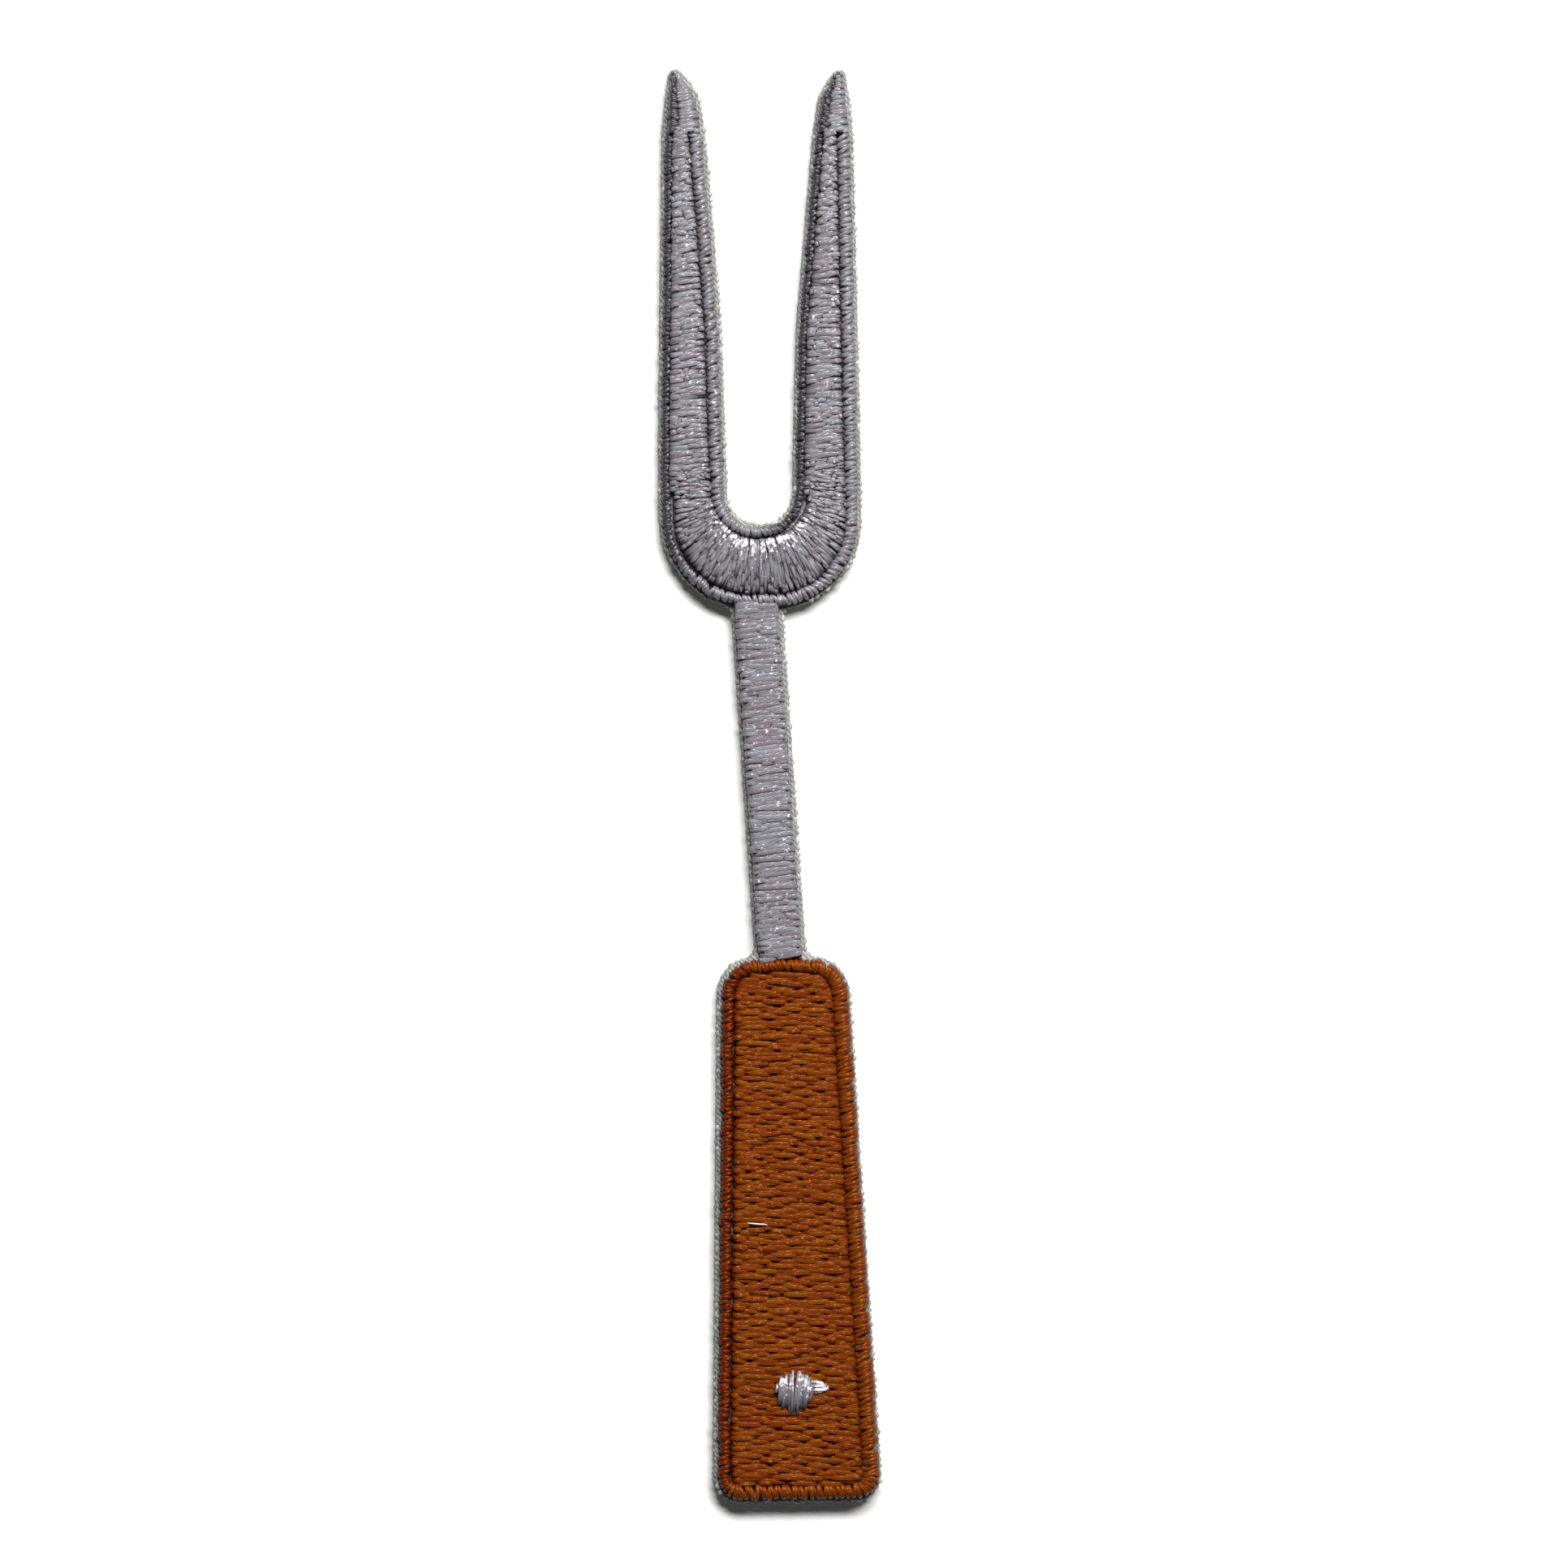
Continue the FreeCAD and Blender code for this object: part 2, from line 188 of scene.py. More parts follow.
def rows_across(loop: Array, step: float) -> tuple[Array, Array]:
    """Level rows across an outline, and where they enter and leave it.

    Each edge of the outline that straddles a row crosses it at a straight-line share of its own length,
    and the least and the greatest crossing of a row are its two ends.

    Args:
        loop: Closed outline, (n, 2).
        step: Distance between rows in millimetres, made even over the outline's height.

    Returns:
        Y of each row, and a (rows, 2) array of the left and right X of each row.
    """
    low, high = loop[:, 1].min(), loop[:, 1].max()
    count = round((high - low) / (step * MM))
    heights = low + (np.arange(count) + 0.5) / count * (high - low)
    ring = closed(loop)
    x0, y0 = ring[:-1, 0], ring[:-1, 1]
    x1, y1 = ring[1:, 0], ring[1:, 1]
    y = heights[:, None]
    crosses = (y0 <= y) != (y1 <= y)
    rise = np.where(y1 == y0, 1.0, y1 - y0)
    x = x0 + (y - y0) / rise * (x1 - x0)
    ends = [np.where(crosses, x, np.inf).min(1), np.where(crosses, x, -np.inf).max(1)]
    return heights, np.stack(ends, axis=1)


def turned(points: Array, angle: float) -> Array:
    """Points turned about the origin by an angle in degrees."""
    a = math.radians(angle)
    return points @ np.array([[math.cos(a), math.sin(a)], [-math.sin(a), math.cos(a)]])


def unit(vectors: Array) -> Array:
    """Vectors made one long, along the last axis."""
    return vectors / (np.linalg.norm(vectors, axis=-1, keepdims=True) + TINY)


def signed_area(loop: Array) -> float:
    """Twice a closed outline's area, above 0 where the outline runs anticlockwise."""
    return float(np.sum(loop[:, 0] * np.roll(loop[:, 1], -1) - np.roll(loop[:, 0], -1) * loop[:, 1]))


def outward(loop: Array) -> Array:
    """The way out of a closed outline at each point: the unit sum of the normals of its two edges.

    Args:
        loop: Closed outline, (n, 2).

    Returns:
        (n, 2) unit vectors.
    """
    ahead = unit(np.roll(loop, -1, axis=0) - loop)
    normal = np.stack([ahead[:, 1], -ahead[:, 0]], axis=1)
    return unit(normal + np.roll(normal, 1, axis=0)) * np.sign(signed_area(loop))


# Weighs the painted shade of edges that face left, away from the lamp.
def faces_left(directions: Array, slope: float = 1.6, least: float = 0.3) -> Array:
    """How far unit vectors point to the left, as (n, 1) values: slope times that, less least, from 0 to 1."""
    return np.clip(-directions[:, :1] * slope - least, 0, 1)


def alternate(count: int) -> Array:
    """True for the first of a run and for every second one after it."""
    return np.arange(count) % 2 == 0


def soft_noise(count: int, period: float, rng: np.random.Generator) -> Array:
    """Smooth noise of unit size over a closed run: a sum of a few sines of random phase.

    Args:
        count: Points in the run.
        period: Points to a wave, about.
        rng: Source of the phases.

    Returns:
        A value for each point.
    """
    position = np.arange(count) / count * 2 * math.pi
    turns = np.maximum(1, np.round(count / period * np.array([0.5, 0.8, 1.0, 1.4, 2.1])))
    phases = rng.uniform(0, 2 * math.pi, len(turns))
    return np.sin(position[:, None] * turns + phases).sum(1) / math.sqrt(len(turns) / 2)


# ---------------------------------------------------------------- meshes


@dataclass
class Skin:
    """Vertices, faces of any size and the values that materials read, before they become a mesh."""

    points: Array
    quads: Array
    caps: list[Array] = field(default_factory=list)
    uv: Array | None = None
    values: dict[str, Array] = field(default_factory=dict)

    def piece(self, name: str) -> bpy.types.Object:
        """Makes the mesh object at the origin, with smooth faces.

        Args:
            name: Name of the piece.

        Returns:
            The new object, linked to the scene.
        """
        groups = [self.quads, *self.caps]
        corners = np.concatenate([group.ravel() for group in groups]).astype(np.int32)
        sizes = np.concatenate([np.full(len(group), group.shape[1]) for group in groups])
        starts = np.concatenate([[0], np.cumsum(sizes)[:-1]]).astype(np.int32)
        mesh = bpy.data.meshes.new(name)
        mesh.vertices.add(len(self.points))
        mesh.vertices.foreach_set("co", self.points.astype(np.float32).ravel())
        mesh.loops.add(len(corners))
        mesh.loops.foreach_set("vertex_index", corners)
        mesh.polygons.add(len(sizes))
        mesh.polygons.foreach_set("loop_start", starts)
        if self.uv is not None:
            layer = mesh.uv_layers.new(name="thread")
            layer.data.foreach_set("uv", self.uv[corners].astype(np.float32).ravel())
        for key, value in self.values.items():
            attribute = mesh.attributes.new(key, "FLOAT", "POINT")
            attribute.data.foreach_set("value", value.astype(np.float32).ravel())
        mesh.update(calc_edges=True)
        mesh.validate()
        mesh.polygons.foreach_set("use_smooth", np.ones(len(mesh.polygons), dtype=bool))
        shown = bpy.data.objects.new(name, mesh)
        bpy.context.scene.collection.objects.link(shown)
        return shown


@dataclass(frozen=True)
class Thread:
    """The size of a thread as it lies, in millimetres, and how unevenly it is laid.

    Args:
        width: Width of its oval section.
        thickness: Height of its oval section.
        wander: Scatter of its way, sideways.
        lift_wander: Scatter of its crest's height.
        swelling: Scatter of its size, as a share.
        taper: How much thinner it is low down, and how much more painted shade it takes there, as a share.
        rings: Sections along a stitch.
        sides: Sides of a section.
    """

    width: float
    thickness: float
    wander: float = 0.025
    lift_wander: float = 0.016
    swelling: float = 0.07
    taper: float = 0.28
    rings: int = 9
    sides: int = 6


def sunk_along(ends: Array, s: Array) -> Array:
    """How much painted shading stitches take along their way.

    Between its values a and b at the ends it is a (1 - s)^2 + 2 m s (1 - s) + b s^2, where m is the one
    of a and b that is nearer to 0.

    Args:
        ends: The values at the start and the end, (n, 2).
        s: Shares of the way, (k,) or (n, k).

    Returns:
        (n, k) values.
    """
    a, b = ends[:, :1], ends[:, 1:]
    middle = np.where(np.abs(a) < np.abs(b), a, b)
    return a * (1 - s) ** 2 + 2 * middle * s * (1 - s) + b * s**2


@dataclass
class Stitches:
    """Many stitches of one thread, each from one needle hole to another over a crest.

    Args:
        start: First hole of each stitch, (n, 3) in metres.
        end: Second hole of each stitch.
        top: Z of each stitch's crest.
        thread: The thread's size.
        squareness: How flat the crest is and how steeply its ends drop.
        fullness: How round the drop is: 0.5 for an ellipse, 1 for a parabola.
        bow: How far each stitch bows out sideways at its middle, in millimetres.
        sunk: Painted shading of each stitch at its start and at its end, (n, 2). From 0 to 1 it is painted
        darker, towards its shade colour, and below 0 it takes painted highlight spots.
    """

    start: Array
    end: Array
    top: Array
    thread: Thread
    squareness: float
    fullness: float = 0.5
    bow: Array | float = 0.0
    sunk: Array | float = 0.0

    def sunk_ends(self) -> Array:
        """The painted shading of each stitch at its two ends, as (n, 2)."""
        return np.broadcast_to(self.sunk, (len(self.top), 2))

    def bows(self) -> Array:
        """How far each stitch bows out, as (n,)."""
        return np.broadcast_to(self.bow, len(self.top))

    def where(self, chosen: Array, **changed: Array) -> "Stitches":
        """Only the chosen stitches, with some of their values changed."""
        kept = {"start": self.start[chosen], "end": self.end[chosen], "top": self.top[chosen]}
        return replace(self, **(kept | changed))

    def joined(self, other: "Stitches") -> "Stitches":
        """These stitches and another run of the same thread.

        Args:
            other: The other run.

        Returns:
            Both in one run, these first.
        """
        return replace(
            self,
            start=np.concatenate([self.start, other.start]),
            end=np.concatenate([self.end, other.end]),
            top=np.concatenate([self.top, other.top]),
            sunk=np.concatenate([self.sunk_ends(), other.sunk_ends()]),
            bow=np.concatenate([self.bows(), other.bows()]),
        )

    def skin(self, rng: np.random.Generator) -> Skin:
        """Sweeps an oval section along every stitch at once.

        Along a stitch s runs from 0 to 1, closer together near the ends. The centre line is the straight
        line between the holes, raised towards the crest by lift = (1 - |2 s - 1| ^ squareness) ^ fullness,
        and bowed sideways by a half sine. Round it the section is side * cos(a) * width / 2 plus
        normal * sin(a) * thickness / 2, where side lies level across the stitch and normal is the cross
        product of the line's direction and side. Both are times 1 - taper + taper * lift and the stitch's
        own swelling. The depth stored for materials, the mask of the painted shade low between the
        stitches, is lift * (1 - taper + taper * sin(a)), times 1 less the stitch's painted shading at s.

        Args:
            rng: Source of the thread's unevenness.

        Returns:
            The tubes, closed at both ends, with a thread UV, a tone per stitch and a depth.
        """
        thread = self.thread
        count = len(self.start)
        wander = thread.wander * MM
        s = 0.5 - 0.5 * np.cos(np.linspace(0, math.pi, thread.rings))
        lift = (1 - np.abs(2 * s - 1) ** self.squareness) ** self.fullness
        flat = self.end[:, :2] - self.start[:, :2]
        length = np.linalg.norm(flat, axis=1) + SPECK
        side = np.stack([-flat[:, 1] / length, flat[:, 0] / length, np.zeros(count)], axis=1)
        bow = self.bows()[:, None] * MM + rng.normal(0, wander, (count, 1))
        shift = rng.normal(0, wander, (count, 1)) + bow * np.sin(math.pi * s)
        crest = self.top + rng.normal(0, thread.lift_wander * MM, count) - thread.thickness * MM / 2
        line = self.start[:, None] * (1 - s)[:, None] + self.end[:, None] * s[:, None]
        line[..., 2] += (crest[:, None] - line[..., 2]) * lift
        line += side[:, None] * shift[..., None]
        normal = np.cross(unit(np.gradient(line, axis=1)), side[:, None])
        rings, sides, thin = thread.rings, thread.sides, 1 - thread.taper
        angle = np.arange(sides) / sides * 2 * math.pi
        swell = (thin + thread.taper * lift) * rng.normal(1, thread.swelling, (count, 1)) * MM / 2
        across = (np.cos(angle) * thread.width * swell[..., None])[..., None]
        up = (np.sin(angle) * thread.thickness * swell[..., None])[..., None]
        points = line[:, :, None] + side[:, None, None] * across + normal[:, :, None] * up
        ring = np.arange(rings - 1)[:, None] * sides
        here = np.arange(sides)
        after = (here + 1) % sides
        cell = np.stack([ring + here, ring + after, ring + sides + after, ring + sides + here], axis=2)
        base = np.arange(count)[:, None, None] * (rings * sides)
        quads = (base + cell.reshape(1, -1, 4)).reshape(-1, 4)
        first = (base[:, 0] + here[::-1]).reshape(-1, sides)
        last = (base[:, 0] + (rings - 1) * sides + here).reshape(-1, sides)
        shape = (count, rings, sides)
        run = np.broadcast_to((s * length[:, None] / MM)[..., None], shape)
        turn = np.broadcast_to(angle / (2 * math.pi), shape)
        tone = np.broadcast_to(rng.normal(0, 1, (count, 1, 1)), shape)
        # Painted shade and painted highlights: the depth mask darkens each stitch low down and where its
        # painted shading is above 0.
        rise = 1 - sunk_along(self.sunk_ends(), s)
        depth = rise[..., None] * lift[:, None] * (thin + thread.taper * np.sin(angle))
        return Skin(
            points=points.reshape(-1, 3),
            quads=quads,
            caps=[first, last],
            uv=np.stack([run.ravel(), turn.ravel()], axis=1),
            values={"tone": tone, "depth": np.broadcast_to(depth, shape)},
        )


@dataclass
class Rails:
    """The two edges of a stitched column, as lines of points that run the same way."""

    left: Array
    right: Array

    @classmethod
    def of_column(cls, node: str, bent: bool) -> "Rails":
        """The two long sides of a solid whose outline has four corners.

        Args:
            node: Name of the frame's node.
            bent: Whether the column goes round a bend, where the longer side is the first rail.

        Returns:
            The rails, from the lower end up, the left one first where the column isn't bent.
        """
        lines = sorted(split_at_corners(outlines(node)[0]), key=line_length)
        first, second = lines[-1], lines[-2][::-1]
        if not bent and np.mean(first[:, 0]) > np.mean(second[:, 0]):
            first, second = second, first
        if first[-1, 1] < first[0, 1]:
            first, second = first[::-1], second[::-1]
        return cls(first, second)

    @classmethod
    def of_ring(cls, node: str) -> "Rails":
        """The outer and inner rims of a solid that closes on itself, the same way round."""
        outer, inner = outlines(node)[:2]
        return cls(closed(outer), closed(inner[::-1]))

    def run_on(self, before: float, after: float) -> "Rails":
        """Both rails made longer at their two ends, straight on.

        Args:
            before: How much longer at the first end, in millimetres.
            after: How much longer at the last end.

        Returns:
            The longer rails, or these where nothing is asked for.
        """
        if not before and not after:
            return self
        longer = []
        for rail in (self.left, self.right):
            first = rail[0] + unit(rail[0] - rail[1]) * before * MM
            last = rail[-1] + unit(rail[-1] - rail[-2]) * after * MM
            longer.append(np.concatenate([[first], rail, [last]]))
        return Rails(*longer)

    def holes(self, pitch: float, by_nearest: bool, slant: float) -> tuple[Array, Array]:
        """Points on both rails, an even distance apart on the left one.

        Args:
            pitch: Distance between holes along the left rail, in millimetres.
            by_nearest: Pair each with the nearest point of the right rail, and not with the same share.
            slant: How far along the right rail the facing points are shifted, in millimetres.

        Returns:
            Two (n, 2) arrays, a pair of facing points in each row.
        """
        length = line_length(self.left)
        count = max(3, round(length / (pitch * MM)))
        shares = np.linspace(0, 1, count)
        left = along_line(self.left, shares)
        shift = slant * MM / length
        if not by_nearest:
            return left, along_line(self.right, np.clip(shares + shift, 0, 1))
        fine = along_line(self.right, np.linspace(0, 1, 6 * count))
        facing = along_line(self.left, np.clip(shares + shift, 0, 1))
        gaps = np.linalg.norm(facing[:, None] - fine[None], axis=2)
        return left, fine[np.argmin(gaps, axis=1)]


def zigzag(
    left: Array, right: Array, reach: Sequence[Array | float], rng: np.random.Generator,
    uneven: tuple[float, float] = (0.03, 0.06),
) -> Array:
    """The needle's holes as it goes from side to side.

    Args:
        left: Points of one side, (n, 2).
        right: The facing points of the other side.
        reach: How far past the left and the right side the holes lie, in millimetres.
        rng: Source of unevenness.
        uneven: Scatter of a hole across and along the column, in millimetres.

    Returns:
        (n, 2) holes, every second one from the right side.
    """
    across = unit(right - left)
    along = np.column_stack([-across[:, 1], across[:, 0]])
    out = rng.normal(0, uneven[0], (len(left), 1))
    along *= rng.normal(0, uneven[1], (len(left), 1)) * MM
    on_left = left - across * (out + reach[0]) * MM
    on_right = right + across * (out + reach[1]) * MM
    return along + np.where(alternate(len(left))[:, None], on_left, on_right)


def at_height(points: Array, z: float | Array) -> Array:
    """Points of the plan, put at a height."""
    return np.column_stack([points, np.broadcast_to(z, len(points))])


# ---------------------------------------------------------------- materials

# Scales of the noises: how many spots there are to a metre, about.
DYE_PATCHES = 420.0
FILAMENT_SPOTS = 5200.0
PAINTED_GLINT_SPOTS = 3600.0
CLOTH_PATCHES = 900.0
CLOTH_FIBRES = 9000.0

FILAMENTS = 9.0  # ridges round a thread
THREAD_RELIEF = 0.02  # height of a thread's ridges, in millimetres
CLOTH_RELIEF = 0.03  # height of a cloth's ridges, in millimetres


class Socket(Enum):
    """The kinds of socket that a surface group has."""

    COLOUR = "NodeSocketColor"
    VALUE = "NodeSocketFloat"


def new_group(name: str, inputs: dict[str, Socket], outputs: dict[str, Socket]) -> bpy.types.NodeTree:
    """A shader node group with named sockets.

    Args:
        name: Name of the group.
        inputs: The kind of each input, by its label.
        outputs: The kind of each output, by its label.

    Returns:
        The group, with its two end nodes named in and out.
    """
    group = bpy.data.node_groups.new(name, "ShaderNodeTree")
    for way, sockets in (("INPUT", inputs), ("OUTPUT", outputs)):
        for label, kind in sockets.items():
            group.interface.new_socket(label, in_out=way, socket_type=kind.value)
    group.nodes.new("NodeGroupInput").name = "in"
    group.nodes.new("NodeGroupOutput").name = "out"
    return group


@dataclass
class Wiring:
    """Short ways to add and join the nodes of a tree."""

    tree: bpy.types.NodeTree

    def add(self, kind: str, **settings: object) -> bpy.types.Node:
        """Adds a node.

        Args:
            kind: Its type.
            **settings: Its properties.

        Returns:
            The new node.
        """
        node = self.tree.nodes.new(kind)
        for key, value in settings.items():
            setattr(node, key, value)
        return node

    def feed(self, socket: bpy.types.NodeSocket, source: object) -> None:
        """Sets a socket to a constant, or joins it to another socket.

        Args:
            socket: The socket to feed.
            source: The constant or the other socket.
        """
        if isinstance(source, bpy.types.NodeSocket):
            self.tree.links.new(source, socket)
        else:
            socket.default_value = source

    def fed(self, node: bpy.types.Node, *sources: object) -> bpy.types.NodeSocket:
        """Feeds a node's inputs in their order.

        Args:
            node: The node.
            *sources: Constants or sockets.

        Returns:
            The node's first output.
        """
        for socket, source in zip(node.inputs, sources):
            self.feed(socket, source)
        return node.outputs[0]

    def math(self, operation: str, *sources: object) -> bpy.types.NodeSocket:
        """A Math node's result."""
        return self.fed(self.add("ShaderNodeMath", operation=operation), *sources)

    def plus(self, first: object, second: object) -> bpy.types.NodeSocket:
        """The sum of two values."""
        return self.math("ADD", first, second)

    def times(self, first: object, second: object) -> bpy.types.NodeSocket:
        """The product of two values."""
        return self.math("MULTIPLY", first, second)

    def stretch(
        self, value: object, given: tuple[float, float], wanted: tuple[float, float] = (0.0, 1.0)
    ) -> bpy.types.NodeSocket:
        """A value moved from one range to another and held inside it."""
        return self.fed(self.add("ShaderNodeMapRange"), value, *given, *wanted)

    def blend(self, share: object, low: object, high: object) -> bpy.types.NodeSocket:
        """A mix of two colours.

        Args:
            share: How much of the second colour there is, from 0 to 1.
            low: The first colour.
            high: The second colour.

        Returns:
            The mixed colour.
        """
        node = self.add("ShaderNodeMix", data_type="RGBA")
        for index, source in ((0, share), (6, low), (7, high)):
            self.feed(node.inputs[index], source)
        return node.outputs[2]

    def noise(self, scale: float, detail: float) -> bpy.types.NodeSocket:
        """Noise over Object coordinates.

        Args:
            scale: How fine it is.
            detail: How many finer noises are added to it.

        Returns:
            The noise's value.
        """
        node = self.add("ShaderNodeTexNoise")
        node.inputs["Scale"].default_value = scale
        node.inputs["Detail"].default_value = detail
        self.feed(node.inputs["Vector"], self.add("ShaderNodeTexCoord").outputs["Object"])
        return node.outputs["Fac"]

    def attribute(self, name: str) -> bpy.types.NodeSocket:
        """A value stored on the mesh."""
        return self.add("ShaderNodeAttribute", attribute_name=name).outputs["Fac"]

    def split(self, vector: bpy.types.NodeSocket) -> tuple[bpy.types.NodeSocket, bpy.types.NodeSocket]:
        """The X and the Y of a vector."""
        parts = self.add("ShaderNodeSeparateXYZ")
        return self.fed(parts, vector), parts.outputs[1]


@cache
def thread_group() -> bpy.types.NodeTree:
    """Colour, roughness and height of a twisted thread, built once.

    The colour goes from a shade colour, painted low between the stitches, to Body on their crests, and
    each stitch leans to Warm or to Light by its tone. Small spots take a painted highlight, most where
    a stitch's painted shading is below 0. The height is the ridges of the thread's filaments, slanting
    round it.

    Returns:
        The group.
    """
    group = new_group(
        "thread surface",
        dict.fromkeys(("PaintedShade", "Body", "Warm", "Light", "PaintedHighlight"), Socket.COLOUR) | {"Twist": Socket.VALUE},
        {"Color": Socket.COLOUR, "Roughness": Socket.VALUE, "Height": Socket.VALUE},
    )
    net = Wiring(group)
    given, out = group.nodes["in"].outputs, group.nodes["out"].inputs
    tone, depth = net.attribute("tone"), net.attribute("depth")
    fine = net.noise(FILAMENT_SPOTS, 2.0)
    warm = net.plus(net.times(tone, -0.22), net.noise(DYE_PATCHES, 2.0))
    light = net.plus(net.times(tone, 0.2), net.times(fine, 0.6))
    # Painted shade: how much of the shade colour shows, from the stored depth.
    shown = net.plus(depth, net.times(fine, 0.15))
    # Painted highlight spots, most where the stored depth is above 1.
    painted_glint = net.plus(net.noise(PAINTED_GLINT_SPOTS, 1.0), net.times(net.math("SUBTRACT", depth, 1.0), 0.4))
    colour = net.blend(net.stretch(warm, (0.42, 0.85), (0.0, 0.9)), given["Body"], given["Warm"])
    colour = net.blend(net.stretch(light, (0.32, 0.8), (0.0, 0.7)), colour, given["Light"])
    colour = net.blend(net.stretch(shown, (0.22, 0.92)), given["PaintedShade"], colour)
    colour = net.blend(net.stretch(painted_glint, (0.64, 0.75), (0.0, 0.9)), colour, given["PaintedHighlight"])
    way, turn = net.split(net.add("ShaderNodeUVMap", uv_map="thread").outputs[0])
    slant = net.plus(net.times(way, given["Twist"]), net.times(turn, FILAMENTS))
    ridges = net.math("SINE", net.times(slant, 2 * math.pi))
    net.feed(out["Color"], colour)
    net.feed(out["Roughness"], net.stretch(net.plus(fine, net.times(tone, 0.05)), (0.3, 0.7), (0.24, 0.42)))
    net.feed(out["Height"], net.plus(net.times(ridges, 0.5), net.times(fine, 0.8)))
    return group


@cache
def fibre_group() -> bpy.types.NodeTree:
    """Colour and height of cloth or felt, built once: two crossed sets of yarn ridges, and a fibre noise.

    Returns:
        The group.
    """
    group = new_group(
        "fibre surface",
        {"Dark": Socket.COLOUR, "Pale": Socket.COLOUR, "Ridges": Socket.VALUE, "Fibre": Socket.VALUE},
        {"Color": Socket.COLOUR, "Height": Socket.VALUE},
    )
    net = Wiring(group)
    given, out = group.nodes["in"].outputs, group.nodes["out"].inputs
    x, y = net.split(net.add("ShaderNodeTexCoord").outputs["Object"])
    rows = net.math("SINE", net.times(net.plus(x, y), given["Ridges"]))
    cross = net.math("SINE", net.times(x, net.times(given["Ridges"], 1.9)))
    weave = net.plus(net.times(rows, 0.35), net.times(cross, 0.15))
    height = net.plus(weave, net.times(net.noise(CLOTH_FIBRES, 4.0), given["Fibre"]))
    share = net.stretch(net.plus(height, net.times(net.noise(CLOTH_PATCHES, 2.0), 0.7)), (0.1, 1.3))
    net.feed(out["Color"], net.blend(share, given["Dark"], given["Pale"]))
    net.feed(out["Height"], height)
    return group


def surfaced(
    name: str, group: bpy.types.NodeTree, given: dict[str, object], bump: tuple[float, float],
    plain: dict[str, object],
) -> bpy.types.Material:
    """A material whose shader reads a surface group.

    Args:
        name: Name of the material.
        group: The surface group.
        given: What the group is given, by the labels of its inputs.
        bump: Strength of the bump, and the height of its ridges in millimetres.
        plain: Constants for the shader's own inputs, by their labels.

    Returns:
        The new material.
    """
    made = bpy.data.materials.new(name)
    made.use_nodes = True
    net = Wiring(made.node_tree)
    shader = made.node_tree.nodes["Principled BSDF"].inputs
    surface = net.add("ShaderNodeGroup", node_tree=group)
    for label, value in given.items():
        net.feed(surface.inputs[label], value)
    for label, value in plain.items():
        net.feed(shader[label], value)
    relief = net.add("ShaderNodeBump")
    net.feed(relief.inputs["Strength"], bump[0])
    net.feed(relief.inputs["Distance"], bump[1] * MM)
    net.feed(relief.inputs["Height"], surface.outputs["Height"])
    net.feed(shader["Normal"], relief.outputs[0])
    net.feed(shader["Base Color"], surface.outputs["Color"])
    if "Roughness" in surface.outputs:
        net.feed(shader["Roughness"], surface.outputs["Roughness"])
    return made


def colour(red: int, green: int, blue: int) -> Colour:
    """A linear colour from the usual 0 to 255 values: each share of 255 to the power 2.2."""
    return (*((value / 255) ** 2.2 for value in (red, green, blue)), 1.0)


@dataclass(frozen=True)
class ThreadFinish:
    """A shiny filament thread, dyed in one colour, with a painted shade colour and a painted highlight
    colour.
    """

    name: str
    painted_shade: Colour
    body: Colour
    warm: Colour
    light: Colour
    painted_highlight: Colour
    twist: float = 1.6
    bump: float = 0.35
    specular: float = 0.6
    tint: Colour = (1.0, 1.0, 1.0, 1.0)

    def material(self) -> bpy.types.Material:
        """Builds the material.

        Returns:
            The new material.
        """
        given = {
            "PaintedShade": self.painted_shade, "Body": self.body, "Warm": self.warm, "Light": self.light,
            "PaintedHighlight": self.painted_highlight, "Twist": self.twist,
        }
        plain = {"Specular IOR Level": self.specular, "Specular Tint": self.tint}
        return surfaced(self.name, thread_group(), given, (self.bump, THREAD_RELIEF), plain)


@dataclass(frozen=True)
class FibreFinish:
    """A matt cloth or felt, or a milky film where it is given an opacity."""

    name: str
    dark: Colour
    pale: Colour
    ridge_width: float
    fibre: float
    roughness: float = 0.85
    bump: float = 0.6
    opacity: float = 1.0

    def material(self) -> bpy.types.Material:
        """Builds the material.

        Returns:
            The new material.
        """
        ridges = 2 * math.pi / (self.ridge_width * MM)
        given = {"Dark": self.dark, "Pale": self.pale, "Ridges": ridges, "Fibre": self.fibre}
        plain = {"Roughness": self.roughness, "Alpha": self.opacity}
        return surfaced(self.name, fibre_group(), given, (self.bump, CLOTH_RELIEF), plain)


# The first colour of each thread is its painted shade, low between the stitches, and the last is its painted
# highlight.
GREY_THREAD = ThreadFinish(
    "grey embroidery thread",
    painted_shade=colour(58, 55, 61), body=colour(115, 114, 121), warm=colour(113, 105, 111),
    light=colour(134, 134, 145), painted_highlight=colour(218, 216, 226), specular=0.5,
)
BROWN_THREAD = ThreadFinish(
    "brown embroidery thread",
    painted_shade=colour(82, 24, 10), body=colour(106, 50, 14), warm=colour(107, 47, 18), light=colour(122, 66, 18),
    painted_highlight=colour(160, 96, 40), specular=0.3, tint=(1.0, 0.5, 0.2, 1.0),
)
BOBBIN_THREAD = ThreadFinish(
    "white bobbin thread",
    painted_shade=colour(150, 146, 142), body=colour(222, 218, 214), warm=colour(214, 204, 200),
    light=colour(240, 238, 236), painted_highlight=colour(250, 248, 246), specular=0.2, twist=2.4,
)
EDGE_YARN = ThreadFinish(
    "cut twill yarn",
    painted_shade=colour(58, 62, 58), body=colour(158, 160, 150), warm=colour(150, 148, 136),
    light=colour(214, 214, 206), painted_highlight=colour(232, 232, 226), specular=0.4, twist=2.0,
)
TWILL = FibreFinish("grey twill", colour(80, 84, 80), colour(164, 166, 160), ridge_width=0.36, fibre=0.9)
